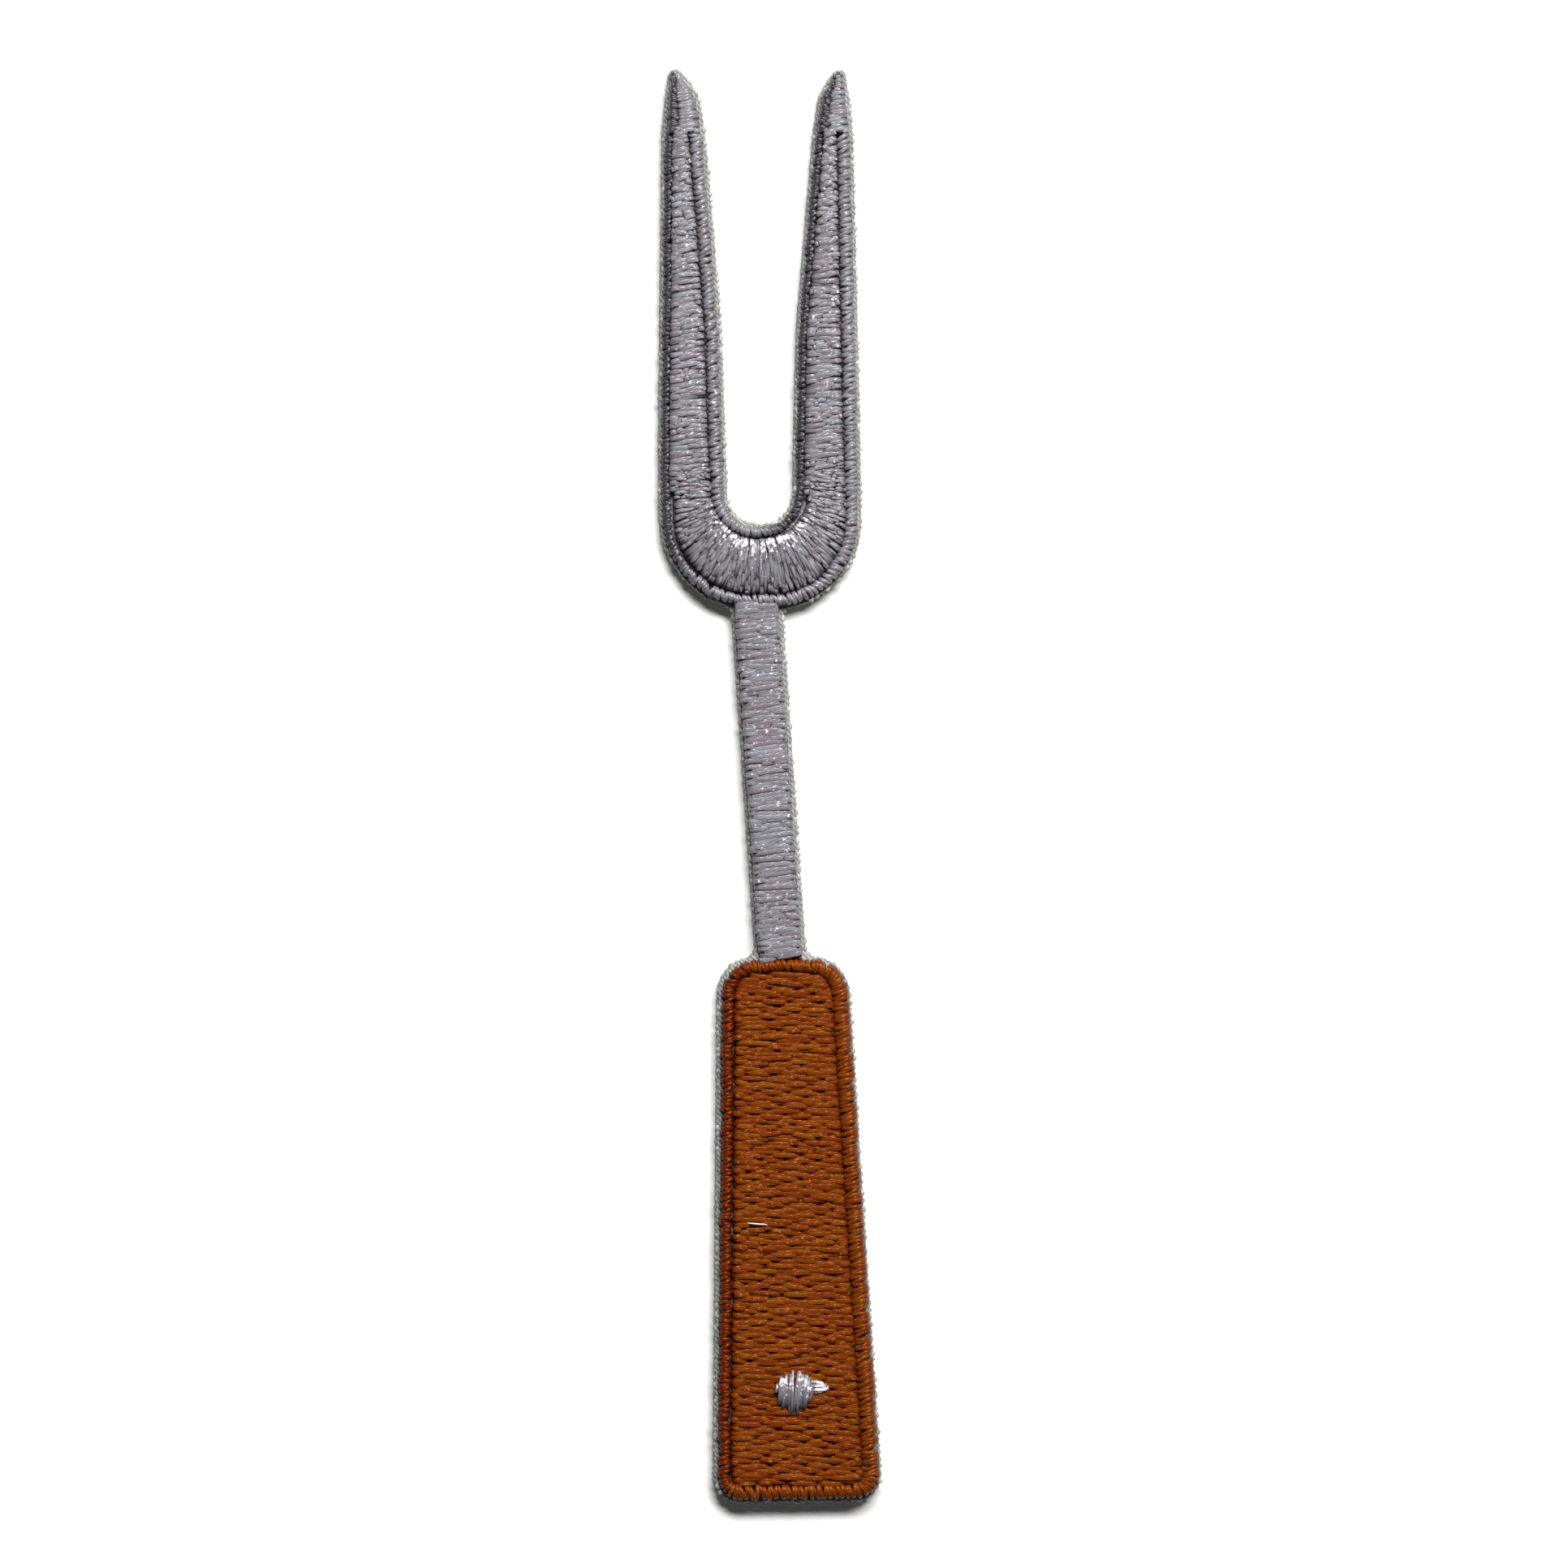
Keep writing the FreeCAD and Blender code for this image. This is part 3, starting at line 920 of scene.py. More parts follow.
STABILIZER = FibreFinish(
    "stabilizer felt", colour(96, 100, 98), colour(170, 174, 170), ridge_width=0.9, fibre=1.0
)
FILM = FibreFinish(
    "heat-seal film", colour(176, 186, 190), colour(220, 228, 230), ridge_width=0.8, fibre=0.3,
    roughness=0.35, bump=0.3, opacity=0.7,
)
Finish = ThreadFinish | FibreFinish
FINISHES: dict[Slot, Finish] = {
    Slot.GREY: GREY_THREAD,
    Slot.BROWN: BROWN_THREAD,
    Slot.BOBBIN: BOBBIN_THREAD,
    Slot.TWILL: TWILL,
    Slot.STABILIZER: STABILIZER,
    Slot.FILM: FILM,
}

@cache
def material_of(finish: Finish) -> bpy.types.Material:
    """A finish's material, built the first time that it is asked for."""
    return finish.material()


def dressed(
    piece: bpy.types.Object, slot: Slot, *nodes: str, finish: Finish | None = None
) -> bpy.types.Object:
    """Gives a piece its finish, its body and the nodes that it stands for, and reports it.

    Args:
        piece: The finished piece.
        slot: Its material slot.
        nodes: The frame's nodes that it replaces.
        finish: Its finish, where it isn't the slot's own.

    Returns:
        The same piece.
    """
    piece.data.materials.append(material_of(finish or FINISHES[slot]))
    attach(piece, "root")
    if nodes:
        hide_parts(*nodes)
    faces = len(piece.data.polygons)
    LOG.info("%s: %d faces, stands for %s", piece.name, faces, ", ".join(nodes) or "nothing")
    return piece


# ---------------------------------------------------------------- the ground


def top_of(node: str) -> float:
    """Z of a solid's highest point."""
    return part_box(node)[1][2]


def bottom_of(node: str) -> float:
    """Z of a solid's lowest point."""
    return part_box(node)[0][2]


@dataclass
class CutLayer:
    """A sheet with a cut edge: flat above and below, with a wall that wavers as the blade left it.

    Args:
        node: The solid that it stands for.
        slot: Its material slot.
        seed: Seed of its unevenness.
        spread: How far its edge lies outside the solid's, in millimetres.
        waver: Size of the edge's waves, in millimetres.
        wave: Steps to a wave.
        step: Distance between the outline's points, in millimetres.
        bulge: How far the wall stands out at its middle, in millimetres.
        wall_rings: Rings of the wall, from its foot to its top.
    """

    node: str
    slot: Slot
    seed: int
    spread: float
    waver: float = 0.02
    wave: float = 5.0
    step: float = 0.14
    bulge: float = 0.02
    wall_rings: int = 4

    def build(self) -> bpy.types.Object:
        """Makes the sheet.

        The outline is taken at even steps and moved out by spread plus a smooth noise. The wall is that
        line carried up in rings, each moved out by bulge times sin(pi * height), and the two flat faces
        are triangles between the outline's own points.

        Returns:
            The finished piece.
        """
        rng = np.random.default_rng(self.seed)
        low, high = bottom_of(self.node), top_of(self.node)
        loop = outlines(self.node, Face.BOTTOM if self.slot is Slot.FILM else Face.TOP)[0]
        count = round(line_length(closed(loop)) / (self.step * MM))
        loop = along_line(closed(loop), np.arange(count) / count)
        out = outward(loop)
        rings = []
        for level in np.linspace(0, 1, self.wall_rings):
            noise = soft_noise(count, self.wave, rng) * self.waver + self.bulge * math.sin(math.pi * level)
            ring = loop + out * ((self.spread + noise) * MM)[:, None]
            rings.append(at_height(ring, low + (high - low) * level))
        points = np.concatenate(rings)
        here = np.arange(count)
        after = (here + 1) % count
        cell = np.stack([here, after, after + count, here + count], axis=1)
        quads = np.concatenate([cell + level * count for level in range(self.wall_rings - 1)])
        quads = quads if signed_area(loop) > 0 else quads[:, ::-1]
        caps = [flat_face(rings[0])[:, ::-1], flat_face(rings[-1]) + (self.wall_rings - 1) * count]
        skin = Skin(points=points, quads=quads, caps=caps)
        return dressed(skin.piece(self.node + "_sheet"), self.slot, self.node)


def flat_face(ring: Array) -> Array:
    """Triangles that fill a closed flat outline, facing up.

    Args:
        ring: The outline's points, (n, 3).

    Returns:
        (k, 3) indices of its points.
    """
    corners = [Vector(point) for point in ring[:, :2].tolist()]
    made = delaunay_2d_cdt(corners, [], [list(range(len(corners)))], 1, SPECK)
    sources = np.array([source[0] for source in made[3]])
    triangles = sources[np.array(made[2])]
    a, b, c = (ring[triangles[:, k], :2] for k in range(3))
    area = (b[:, 0] - a[:, 0]) * (c[:, 1] - a[:, 1]) - (b[:, 1] - a[:, 1]) * (c[:, 0] - a[:, 0])
    return np.where((area > 0)[:, None], triangles, triangles[:, ::-1])


@dataclass
class EdgeYarns:
    """Yarns of the twill that the blade left standing as small loops all round its edge.

    Args:
        spacing: Distance from loop to loop, in millimetres.
        jitter: Scatter of that, as a share of it.
        stand: How far a loop stands out of the edge, in millimetres.
        inset: How far inside the edge its feet are, in millimetres.
        foot_depth: Least and greatest depth of its feet under the twill's top, in millimetres.
        crest_lift: Least and greatest height of its crest over the twill's top, in millimetres.
        bowing: Least and greatest share of its full bow.
        squareness: How flat its crest is.
        left_painted_shade: How much painted shade the loops of an edge that faces left take, from 0 to 1.
        thread: The yarn's size.
    """

    spacing: float = 0.48
    jitter: float = 0.25
    stand: float = 0.03
    inset: float = 0.14
    foot_depth: tuple[float, float] = (0.05, 0.25)
    crest_lift: tuple[float, float] = (-0.1, 0.06)
    bowing: tuple[float, float] = (0.5, 1.1)
    squareness: float = 2.0
    left_painted_shade: float = 0.3
    thread: Thread = Thread(width=0.30, thickness=0.24, wander=0.02, lift_wander=0.04, rings=7, sides=6)

    def build(self) -> bpy.types.Object:
        """Makes each loop as a stitch from one point of the edge to the next, bowed outwards.

        Returns:
            The finished piece.
        """
        rng = np.random.default_rng(7)
        loop = outlines("base_twill", Face.TOP)[0]
        count = round(line_length(closed(loop)) / (self.spacing * MM))
        shares = (np.arange(count) + rng.uniform(-self.jitter, self.jitter, count)) / count
        edge = along_line(closed(loop), shares % 1.0)
        out = outward(edge)
        foot = edge - out * (self.inset * MM)
        top = top_of("base_twill")
        start = at_height(foot, top - rng.uniform(*self.foot_depth, count) * MM)
        bow = (self.stand + self.inset) * rng.uniform(*self.bowing, count) * -np.sign(signed_area(loop))
        crest = top + rng.uniform(*self.crest_lift, count) * MM
        # Loops on edges that face left take painted shade.
        sunk = self.left_painted_shade * faces_left(out)
        end = np.roll(start, -1, axis=0)
        loops = Stitches(start, end, crest, self.thread, self.squareness, bow=bow, sunk=sunk)
        return dressed(loops.skin(rng).piece("twill_edge_yarns"), Slot.TWILL, finish=EDGE_YARN)


# ---------------------------------------------------------------- stitched regions


@dataclass
class SatinColumn:
    """A column of side-by-side stitches between two rails.

    Args:
        node: The solid that it stands for.
        slot: Its material slot.
        seed: Seed of its unevenness.
        pitch: Distance from one hole to the next, whichever side they are on, in millimetres.
        thread: The thread's size.
        reach: How far the holes lie past the left and the right rail, in millimetres.
        slant: How far along the right rail a facing hole is shifted, in millimetres.
        ring: Whether the column closes on itself.
        by_nearest: Whether facing points are the nearest ones, as round a bend.
        squareness: How flat the stitches' crests are.
        fullness: How round their drop is.
        held: For each time that a stitch may be held down on its way, how likely that is.
        held_dip: How far down it is held, as the least and greatest share of its height.
        outside: The rail that lies at the patch's edge, where the column is a border.
        drift: How far the outside rail's holes are drawn towards the right, in millimetres.
        lean: How far the inside rail's holes are drawn towards the left, in millimetres.
        left_painted_shade: How much painted shade the stitches of an edge that faces left take, from 0 to 1;
            their crests sag by that share of sag.
        sag: How much lower their crests are, in millimetres.
        shades: Painted shade at the left and the right rail, and painted highlight spots below 0.
        upright: Whether that painted shading fades where the stitches lie level and not upright.
        fading: The power of the stitches' rise that they then follow.
        arch: How far the stitches bow out towards the tips, in millimetres.
        roots: How high above the cloth the holes on the left and the right rail lie, as shares of the
            column's height, where another region's stitches are in the way.
        run_on: How far the column runs on past its lower and its upper end, in millimetres.
        fall: How far its crest falls towards the end of that, in millimetres.
    """

    node: str
    slot: Slot
    seed: int
    pitch: float
    thread: Thread
    reach: tuple[float, float] = (0.02, 0.02)
    slant: float = 0.0
    ring: bool = False
    by_nearest: bool = False
    squareness: float = 3.0
    fullness: float = 0.5
    held: tuple[float, ...] = ()
    held_dip: tuple[float, float] = (0.12, 0.35)
    outside: Side = Side.LEFT
    drift: float = 0.0
    lean: float = 0.0
    left_painted_shade: float = 0.0
    sag: float = 0.3
    shades: tuple[float, float] = (0.0, 0.0)
    upright: bool = False
    fading: float = 1.5
    arch: float = 0.0
    roots: tuple[float, float] = (0.0, 0.0)
    run_on: tuple[float, float] = (0.0, 0.0)
    fall: float = 0.15

    def rails(self) -> Rails:
        """The column's rails, from its own solid."""
        rails = Rails.of_ring(self.node) if self.ring else Rails.of_column(self.node, self.by_nearest)
        return rails.run_on(*self.run_on)

    def beyond(self, count: int) -> Array:
        """How far stitches lie past the solid's ends, as a share of what the column runs on there.

        Args:
            count: The column's stitches.

        Returns:
            A share for each stitch, 0 where it lies over the solid.
        """
        ways = np.arange(count) * self.pitch, np.arange(count)[::-1] * self.pitch
        return sum(np.clip((far - way) / max(far, TINY), 0, 1) for way, far in zip(ways, self.run_on))

    def stitches(self, rng: np.random.Generator) -> Stitches:
        """The column's stitches, some of them held down on the way.

        The crest of the whole column is the arch (1 - |2 s - 1| ^ squareness) ^ fullness. A stitch that
        is held down becomes two, and the place where it is held lies a little under that arch.

        Args:
            rng: Source of the column's unevenness.

        Returns:
            The stitches.
        """
        left, right = self.rails().holes(self.pitch, self.by_nearest, self.slant)
        floor, top = bottom_of(self.node), top_of(self.node)
        out = unit((left - right) * (1 if self.outside is Side.LEFT else -1))
        reach = [np.full((len(left), 1), value) for value in self.reach]
        reach[self.outside.value] += self.drift * out[:, :1]
        reach[1 - self.outside.value] += self.lean * out[:, :1]
        roots = np.where(alternate(len(left)), *self.roots)
        holes = at_height(zigzag(left, right, reach, rng), floor + roots * (top - floor))
        # Edges that face left take painted shade, and their crests sag by the same share.
        sunk = self.left_painted_shade * faces_left(out[:-1])
        crest = top - (sunk[:, 0] * self.sag + self.beyond(len(sunk)) * self.fall) * MM
        # Painted shade and painted highlight spots at the rails, fading where stitches lie level when upright
        # is set.
        share = np.abs(out[:-1, 1:]) ** self.fading if self.upright else 1.0
        shades = np.where(alternate(len(sunk))[:, None], self.shades, self.shades[::-1])
        bow = self.arch * np.sign(np.diff(holes[:, 0]))
        runs = Stitches(
            holes[:-1], holes[1:], crest, self.thread, self.squareness, self.fullness, bow,
            sunk + shades * share,
        )
        for chance in self.held:
            runs = held_down(runs, chance, self.held_dip, floor, rng)
        return runs

    def build(self) -> bpy.types.Object:
        """Sews the column and stands it in for its solid."""
        return sewn(self)


def held_down(
    runs: Stitches, chance: float, dip: tuple[float, float], floor: float, rng: np.random.Generator
) -> Stitches:
    """Cuts some stitches in two, at a hole that lies under their own arch.

    Args:
        runs: The stitches.
        chance: How likely a stitch is to be cut.
        dip: Least and greatest depth of the hole, as a share of the arch's height.
        floor: Z of the cloth.
        rng: Source of which and where.

    Returns:
        All the stitches, the uncut ones first.
    """
    chosen = rng.random(len(runs.start)) < chance
    share = rng.uniform(0.25, 0.75, len(runs.start))[:, None]
    middle = runs.start * (1 - share) + runs.end * share
    middle[:, 2] = floor + (runs.top - floor) * (1 - rng.uniform(*dip, len(runs.start)))
    sunk = runs.sunk_ends()
    halfway = sunk_along(sunk, share)
    bow = runs.bows()
    whole = runs.where(~chosen, sunk=sunk[~chosen], bow=bow[~chosen])
    first_sunk, second_sunk = np.hstack([sunk[:, :1], halfway]), np.hstack([halfway, sunk[:, 1:]])
    first = runs.where(chosen, end=middle[chosen], sunk=first_sunk[chosen], bow=bow[chosen] / 2)
    second = replace(first, start=middle[chosen], end=runs.end[chosen], sunk=second_sunk[chosen])
    return whole.joined(first).joined(second)


@dataclass
class RowFill:
    """Rows of stitches across an outline, with needle holes that step from row to row like bricks.

    Args:
        node: The solid that it stands for.
        slot: Its material slot.
        seed: Seed of its unevenness.
        row_step: Distance between rows, in millimetres.
        thread: The thread's size.
        tilt: Slope of the rows, in degrees.
        stitch: Length of a stitch in millimetres, or none where each row is one stitch.
        bricks: Where the holes of each row start, as shares of a stitch, repeated.
        nearest: How near a row's end a hole is moved onto it, as a share of a stitch.
        scatter: Scatter of the holes along their row, in millimetres.
        dip: Least and greatest depth of the holes under the crest, in millimetres.
        flank: Share of each row, from its left end, that slopes down as one stitch and takes painted shade.
        fold_scatter: Scatter of the place where the flank ends, in millimetres.
        left_painted_shade: How much painted shade the flank takes, from 0 to 1.
        reach: How far the rows run past the outline, in millimetres.
        ragged: Scatter of the rows' ends, in millimetres.
        waves: Scatter of the holes across their row, in millimetres.
        root: How high above the cloth the rows' ends lie, as a share of the fill's height.
        shortest: Length in millimetres under which a stitch is dropped.
        squareness: How flat the stitches' crests are.
    """

    node: str
    slot: Slot
    seed: int
    row_step: float
    thread: Thread
    tilt: float = 0.0
    stitch: float | None = None
    bricks: tuple[float, ...] = (0.0, 0.04, 0.42, 0.38, 0.78, 0.83, 0.22, 0.26, 0.6, 0.57)
    nearest: float = 0.28
    scatter: float = 0.16
    dip: tuple[float, float] = (0.02, 0.2)
    flank: float = 0.0
    fold_scatter: float = 0.04
    left_painted_shade: float = 0.0
    reach: float = 0.02
    ragged: float = 0.05
    waves: float = 0.0
    root: float = 0.0
    shortest: float = 0.15
    squareness: float = 6.0

    def stitches(self, rng: np.random.Generator) -> Stitches:
        """Every row cut at its holes, as one run of stitches.

        Holes stand at whole numbers of stitches from a fixed line, plus the row's brick share. Those that
        fall near a row's ends are moved onto them, and what is left without length is dropped.

        Args:
            rng: Source of the fill's unevenness.

        Returns:
            The stitches.
        """
        heights, spans = rows_across(turned(outlines(self.node)[0], -self.tilt), self.row_step)
        count = len(heights)
        spans += (np.array([-1, 1]) * self.reach + rng.normal(0, self.ragged, spans.shape)) * MM
        floor, top = bottom_of(self.node), top_of(self.node)
        left, right = spans[:, :1], spans[:, 1:]
        stops = spans
        if self.stitch:
            step = self.stitch * MM
            brick = np.array(self.bricks)[np.arange(count) % len(self.bricks), None]
            reach = np.arange(math.floor(left.min() / step) - 1, math.ceil(right.max() / step) + 2)
            holes = (reach + brick) * step + rng.normal(0, self.scatter, (count, len(reach))) * MM
            near = self.nearest * step
            holes = np.where(holes < left + near, left, np.where(holes > right - near, right, holes))
            stops = np.sort(np.concatenate([stops, holes], axis=1), axis=1)
        if self.flank:
            fold = left + (right - left) * self.flank + rng.normal(0, self.fold_scatter, left.shape) * MM
            stops = np.concatenate([left, fold, right], axis=1)
        deepest = (1 - self.root) * (top - floor)
        at_end = (stops == left) | (stops == right)
        depth = np.where(at_end, deepest, rng.uniform(*self.dip, stops.shape) * MM)
        spot = np.stack([stops, heights[:, None] + rng.normal(0, self.waves, stops.shape) * MM], axis=2)
        spot = np.concatenate([turned(spot, self.tilt), (top - depth)[..., None]], axis=2)
        kept = np.diff(stops, axis=1) > self.shortest * MM
        start, end = spot[:, :-1][kept], spot[:, 1:][kept]
        # The flank's stitch takes painted shade.
        sunk = np.where((stops[:, :-1] == left)[kept], self.left_painted_shade, 0.0)[:, None]
        return Stitches(start, end, np.full(len(start), top), self.thread, self.squareness, sunk=sunk)

    def build(self) -> bpy.types.Object:
        """Sews the rows and stands them in for their solid."""
        return sewn(self)


def sewn(region: SatinColumn | RowFill) -> bpy.types.Object:
    """Sews a region's stitches and stands them in for its solid.

    Args:
        region: The region.

    Returns:
        The finished piece.
    """
    rng = np.random.default_rng(region.seed)
    piece = region.stitches(rng).skin(rng).piece(region.node + "_thread")
    return dressed(piece, region.slot, region.node)


BORDER_THREAD = Thread(width=0.32, thickness=0.15, wander=0.03, lift_wander=0.025)
BORDER_PITCH = 0.2


@dataclass
class ForkHead:
    """The two tines, their tips, the yoke and the borders round them."""

    tine_pitch: float = 0.14
    yoke_pitch: float = 0.105
    tip_step: float = 0.2
    fill: Thread = Thread(width=0.39, thickness=0.07, wander=0.03)
    tip: Thread = Thread(width=0.36, thickness=0.08, lift_wander=0.006)
    fan: Thread = Thread(width=0.27, thickness=0.10, wander=0.04, lift_wander=0.025)

    def build(self) -> None:
        """Sews every region of the head."""
        for side, seed in (("left", 11), ("right", 12)):
            # The tines take faint painted shade at their left rails and painted highlight spots at their
            # right rails.
            SatinColumn(
                f"{side}_tine_satin", Slot.GREY, seed, self.tine_pitch, self.fill, slant=0.3, held=(0.4, 0.2),
                held_dip=(0.03, 0.12), squareness=3.4, reach=(0.32, -0.14), shades=(0.05, -0.25),
                arch=0.06, roots=(0.3, 0.4), run_on=(1.3, 0.35),
            ).build()
            # Each tip's left flank takes painted shade.
            RowFill(
                f"{side}_tip_satin", Slot.GREY, seed + 20, self.tip_step, self.tip, tilt=6.0,
                squareness=2.4, reach=0.0, ragged=0.06, flank=0.34, left_painted_shade=0.95,
            ).build()
        # The yoke takes painted shade at its outer rim and painted highlight spots at its inner rim.
        SatinColumn(
            "yoke_satin", Slot.GREY, 15, self.yoke_pitch, self.fan, by_nearest=True, held=(0.8, 0.5),
            held_dip=(0.03, 0.12), squareness=2.0, fullness=0.75, shades=(0.45, -1.6), upright=True,
            roots=(0.3, 0.2),
        ).build()
        # Border stitches on edges that face left take painted shade.
        for border, seed, outside, roots in (
            ("head_outer_border", 16, Side.LEFT, (0.0, 0.45)),
            ("head_inner_border", 17, Side.RIGHT, (0.45, 0.0)),
        ):
            SatinColumn(
                border, Slot.GREY, seed, BORDER_PITCH, BORDER_THREAD, by_nearest=True, slant=0.25,
                squareness=2.2, outside=outside, roots=roots, left_painted_shade=0.85, lean=0.2,
            ).build()


@dataclass
class Shank:
    """The grey column between the head and the handle."""

    pitch: float = 0.14
    thread: Thread = Thread(width=0.42, thickness=0.065, lift_wander=0.012)

    def build(self) -> None:
        """Sews the shank."""
        # The shank takes faint painted shade at its left rail and painted highlight spots at its right rail.
        SatinColumn(
            "shank_satin", Slot.GREY, 21, self.pitch, self.thread, slant=0.3, held=(0.4, 0.2),
            held_dip=(0.04, 0.12), reach=(0.08, 0.0), squareness=8.0, shades=(0.05, -0.15),
        ).build()


@dataclass
class Handle:
    """The brown fill with its border."""

    row_step: float = 0.15
    tilt: float = -3.0
    stitch: float = 2.1
    thread: Thread = Thread(width=0.40, thickness=0.075, wander=0.02, lift_wander=0.02)

    def build(self) -> None:
        """Sews the fill and the border."""
        RowFill(
            "handle_fill", Slot.BROWN, 31, self.row_step, self.thread, tilt=self.tilt, stitch=self.stitch,
            dip=(0.12, 0.42), waves=0.06, root=0.3, reach=0.06, squareness=4.0,
        ).build()
        # The border's stitches on edges that face left take painted shade.
        SatinColumn(
            "handle_border", Slot.BROWN, 32, BORDER_PITCH, BORDER_THREAD, ring=True, by_nearest=True,
            slant=0.25, reach=(0.06, 0.06), drift=0.16, lean=0.1, squareness=2.2, left_painted_shade=0.6,
            roots=(0.0, 0.3),
        ).build()


@dataclass
class RivetSpot:
    """The grey spot that pictures a rivet, with the knot that ties its thread off.

    Args:
        step: Distance between the spot's stitches, in millimetres.
        lean: How far a stitch's upper end lies to the right of its lower one, in millimetres.
        narrowing: Share of the solid's width that the holes take up, before they lean.
        hole_scatter: Scatter of a hole along and across the spot, in millimetres.
        loops: Loops that stand up at the upper left.
        loop_corner: Where they start, from the holes' left edge and mean upper height, in millimetres.
        loop_spread: Half the square that they start in, in millimetres.
        loop_length: Least and greatest size of a loop each way, in millimetres.
        loop_foot: How far under the spot's crest their feet are, in millimetres.
        loop_drop: The most that a loop's crest lies under the spot's, in millimetres.
        strands: Strands of the knot.
        strand_start: How far left of the knot's solid they start, in millimetres.
        strand_round: How much shorter and lower the outer strands are, in millimetres.
        strand_spans: Shares of the knot's width that they take up at their start and their end.
        shades: How much painted shade a stitch takes at its lower and its upper end; below 0, painted
            highlight spots.
        loop_shade: The same at both ends of a loop.
        strand_shades: The same at the start and the end of a strand.
        squareness: How flat the crests of the spot and of the knot are.
        fullness: How round the drop of the spot's stitches is.
        thread: The thread's size.
    """

    step: float = 0.11
    lean: float = 0.3
    narrowing: float = 0.88
    hole_scatter: tuple[float, float] = (0.13, 0.04)
    loops: int = 5
    loop_corner: tuple[float, float] = (0.45, -0.4)
    loop_spread: float = 0.4
    loop_length: tuple[float, float] = (0.35, 0.7)
    loop_foot: float = 0.35
    loop_drop: float = 0.1
    strands: int = 7
    strand_start: float = 0.5
    strand_round: tuple[float, float] = (0.25, 0.12)
    strand_spans: tuple[float, float] = (0.85, 0.4)
    shades: tuple[float, float] = (0.5, -2.2)
    loop_shade: float = -1.4
    strand_shades: tuple[float, float] = (-0.3, -1.8)
    squareness: tuple[float, float] = (2.0, 2.6)
    fullness: float = 0.6
    thread: Thread = Thread(width=0.25, thickness=0.15, wander=0.05, lift_wander=0.05)

    def build(self) -> None:
        """Sews the spot and its knot."""
        rng = np.random.default_rng(41)
        dressed(self.spot(rng).skin(rng).piece("rivet_thread"), Slot.GREY, "rivet_satin")
        dressed(self.knot().skin(rng).piece("rivet_knot"), Slot.GREY, "rivet_tie_off")

    def holes(self, rng: np.random.Generator) -> Array:
        """The spot's needle holes: an upright zigzag, drawn together and leaning to the right.

        Args:
            rng: Source of the spot's unevenness.

        Returns:
            (n, 3) holes.
        """
        heights, spans = rows_across(turned(outlines("rivet_satin")[0], 90), self.step)
        left = turned(np.column_stack([spans[:, 0], heights]), -90)
        right = turned(np.column_stack([spans[:, 1], heights]), -90)
        plan = zigzag(left, right, (0.0, 0.0), rng, self.hole_scatter)
        upper = plan[:, 1] > plan[:, 1].mean()
        middle = (plan[:, 0].min() + plan[:, 0].max()) / 2
        plan[:, 0] = middle + (plan[:, 0] - middle) * self.narrowing
        plan[:, 0] += np.where(upper, 0.5, -0.5) * self.lean * MM
        return at_height(plan, bottom_of("rivet_satin"))

    def spot(self, rng: np.random.Generator) -> Stitches:
        """The spot's stitches, with painted highlights above and painted shade below, and a few loops that
        stand up.

        Args:
            rng: Source of the spot's unevenness.

        Returns:
            The stitches and the loops.
        """
        holes = self.holes(rng)
        upper = holes[:, 1] > holes[:, 1].mean()
        top = top_of("rivet_satin")
        # Painted highlight spots at the stitches' upper ends, painted shade at their lower ends.
        sunk = np.where(upper[:-1, None], self.shades[::-1], self.shades)
        crest = np.full(len(holes) - 1, top)
        spot = Stitches(
            holes[:-1], holes[1:], crest, self.thread, self.squareness[0], self.fullness, sunk=sunk
        )
        corner = np.array([holes[:, 0].min(), holes[upper, 1].mean()]) + np.array(self.loop_corner) * MM
        starts = corner + rng.uniform(-self.loop_spread, self.loop_spread, (self.loops, 2)) * MM
        ends = starts + rng.uniform(*self.loop_length, (self.loops, 2)) * np.array([1, -1]) * MM
        crests = top + rng.uniform(-self.loop_drop, 0.0, self.loops) * MM
        foot = top - self.loop_foot * MM
        # The loops take painted highlight spots.
        painted_glint = np.full((self.loops, 2), self.loop_shade)
        starts, ends = at_height(starts, foot), at_height(ends, foot)
        return spot.joined(replace(spot, start=starts, end=ends, top=crests, sunk=painted_glint))

    def knot(self) -> Stitches:
        """Strands that run from inside the spot to the knot's end and draw together there.

        Returns:
            The strands.
        """
        low, high = (np.array(corner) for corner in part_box("rivet_tie_off"))
        middle, half = (low[1] + high[1]) / 2, (high[1] - low[1]) / 2
        spread = np.linspace(-1, 1, self.strands)
        shorter, lower = (size * MM * spread**2 for size in self.strand_round)
        start_x = np.full(self.strands, low[0] - self.strand_start * MM)
        end_x = high[0] - shorter
        start_y, end_y = (middle + spread * half * share for share in self.strand_spans)
        starts = at_height(np.column_stack([start_x, start_y]), low[2])
        ends = at_height(np.column_stack([end_x, end_y]), low[2])
        # The knot's strands take painted highlight spots.
        sunk = np.broadcast_to(self.strand_shades, (self.strands, 2))
        return Stitches(starts, ends, high[2] - lower, self.thread, self.squareness[1], sunk=sunk)


def hidden_columns(
    layer: str, slot: Slot, first_seed: int, pitch: float, thread: Thread, root: float
) -> None:
    """Sews the plain columns of one hidden layer, under the tines, the yoke and the shank.

    Args:
        layer: The layer's word at the end of its solids' names.
        slot: Its material slot.
        first_seed: Seed of the first column, one more for each next one.
        pitch: Distance from hole to hole, in millimetres.
        thread: The thread's size.
        root: How high in the layer the holes lie, as a share of its height.
    """
    for seed, region in enumerate(("left_tine", "right_tine", "yoke", "shank"), first_seed):
        SatinColumn(
            f"{region}_{layer}", slot, seed, pitch, thread, reach=(0.0, 0.0), by_nearest=True,
            roots=(root, root),
        ).build()


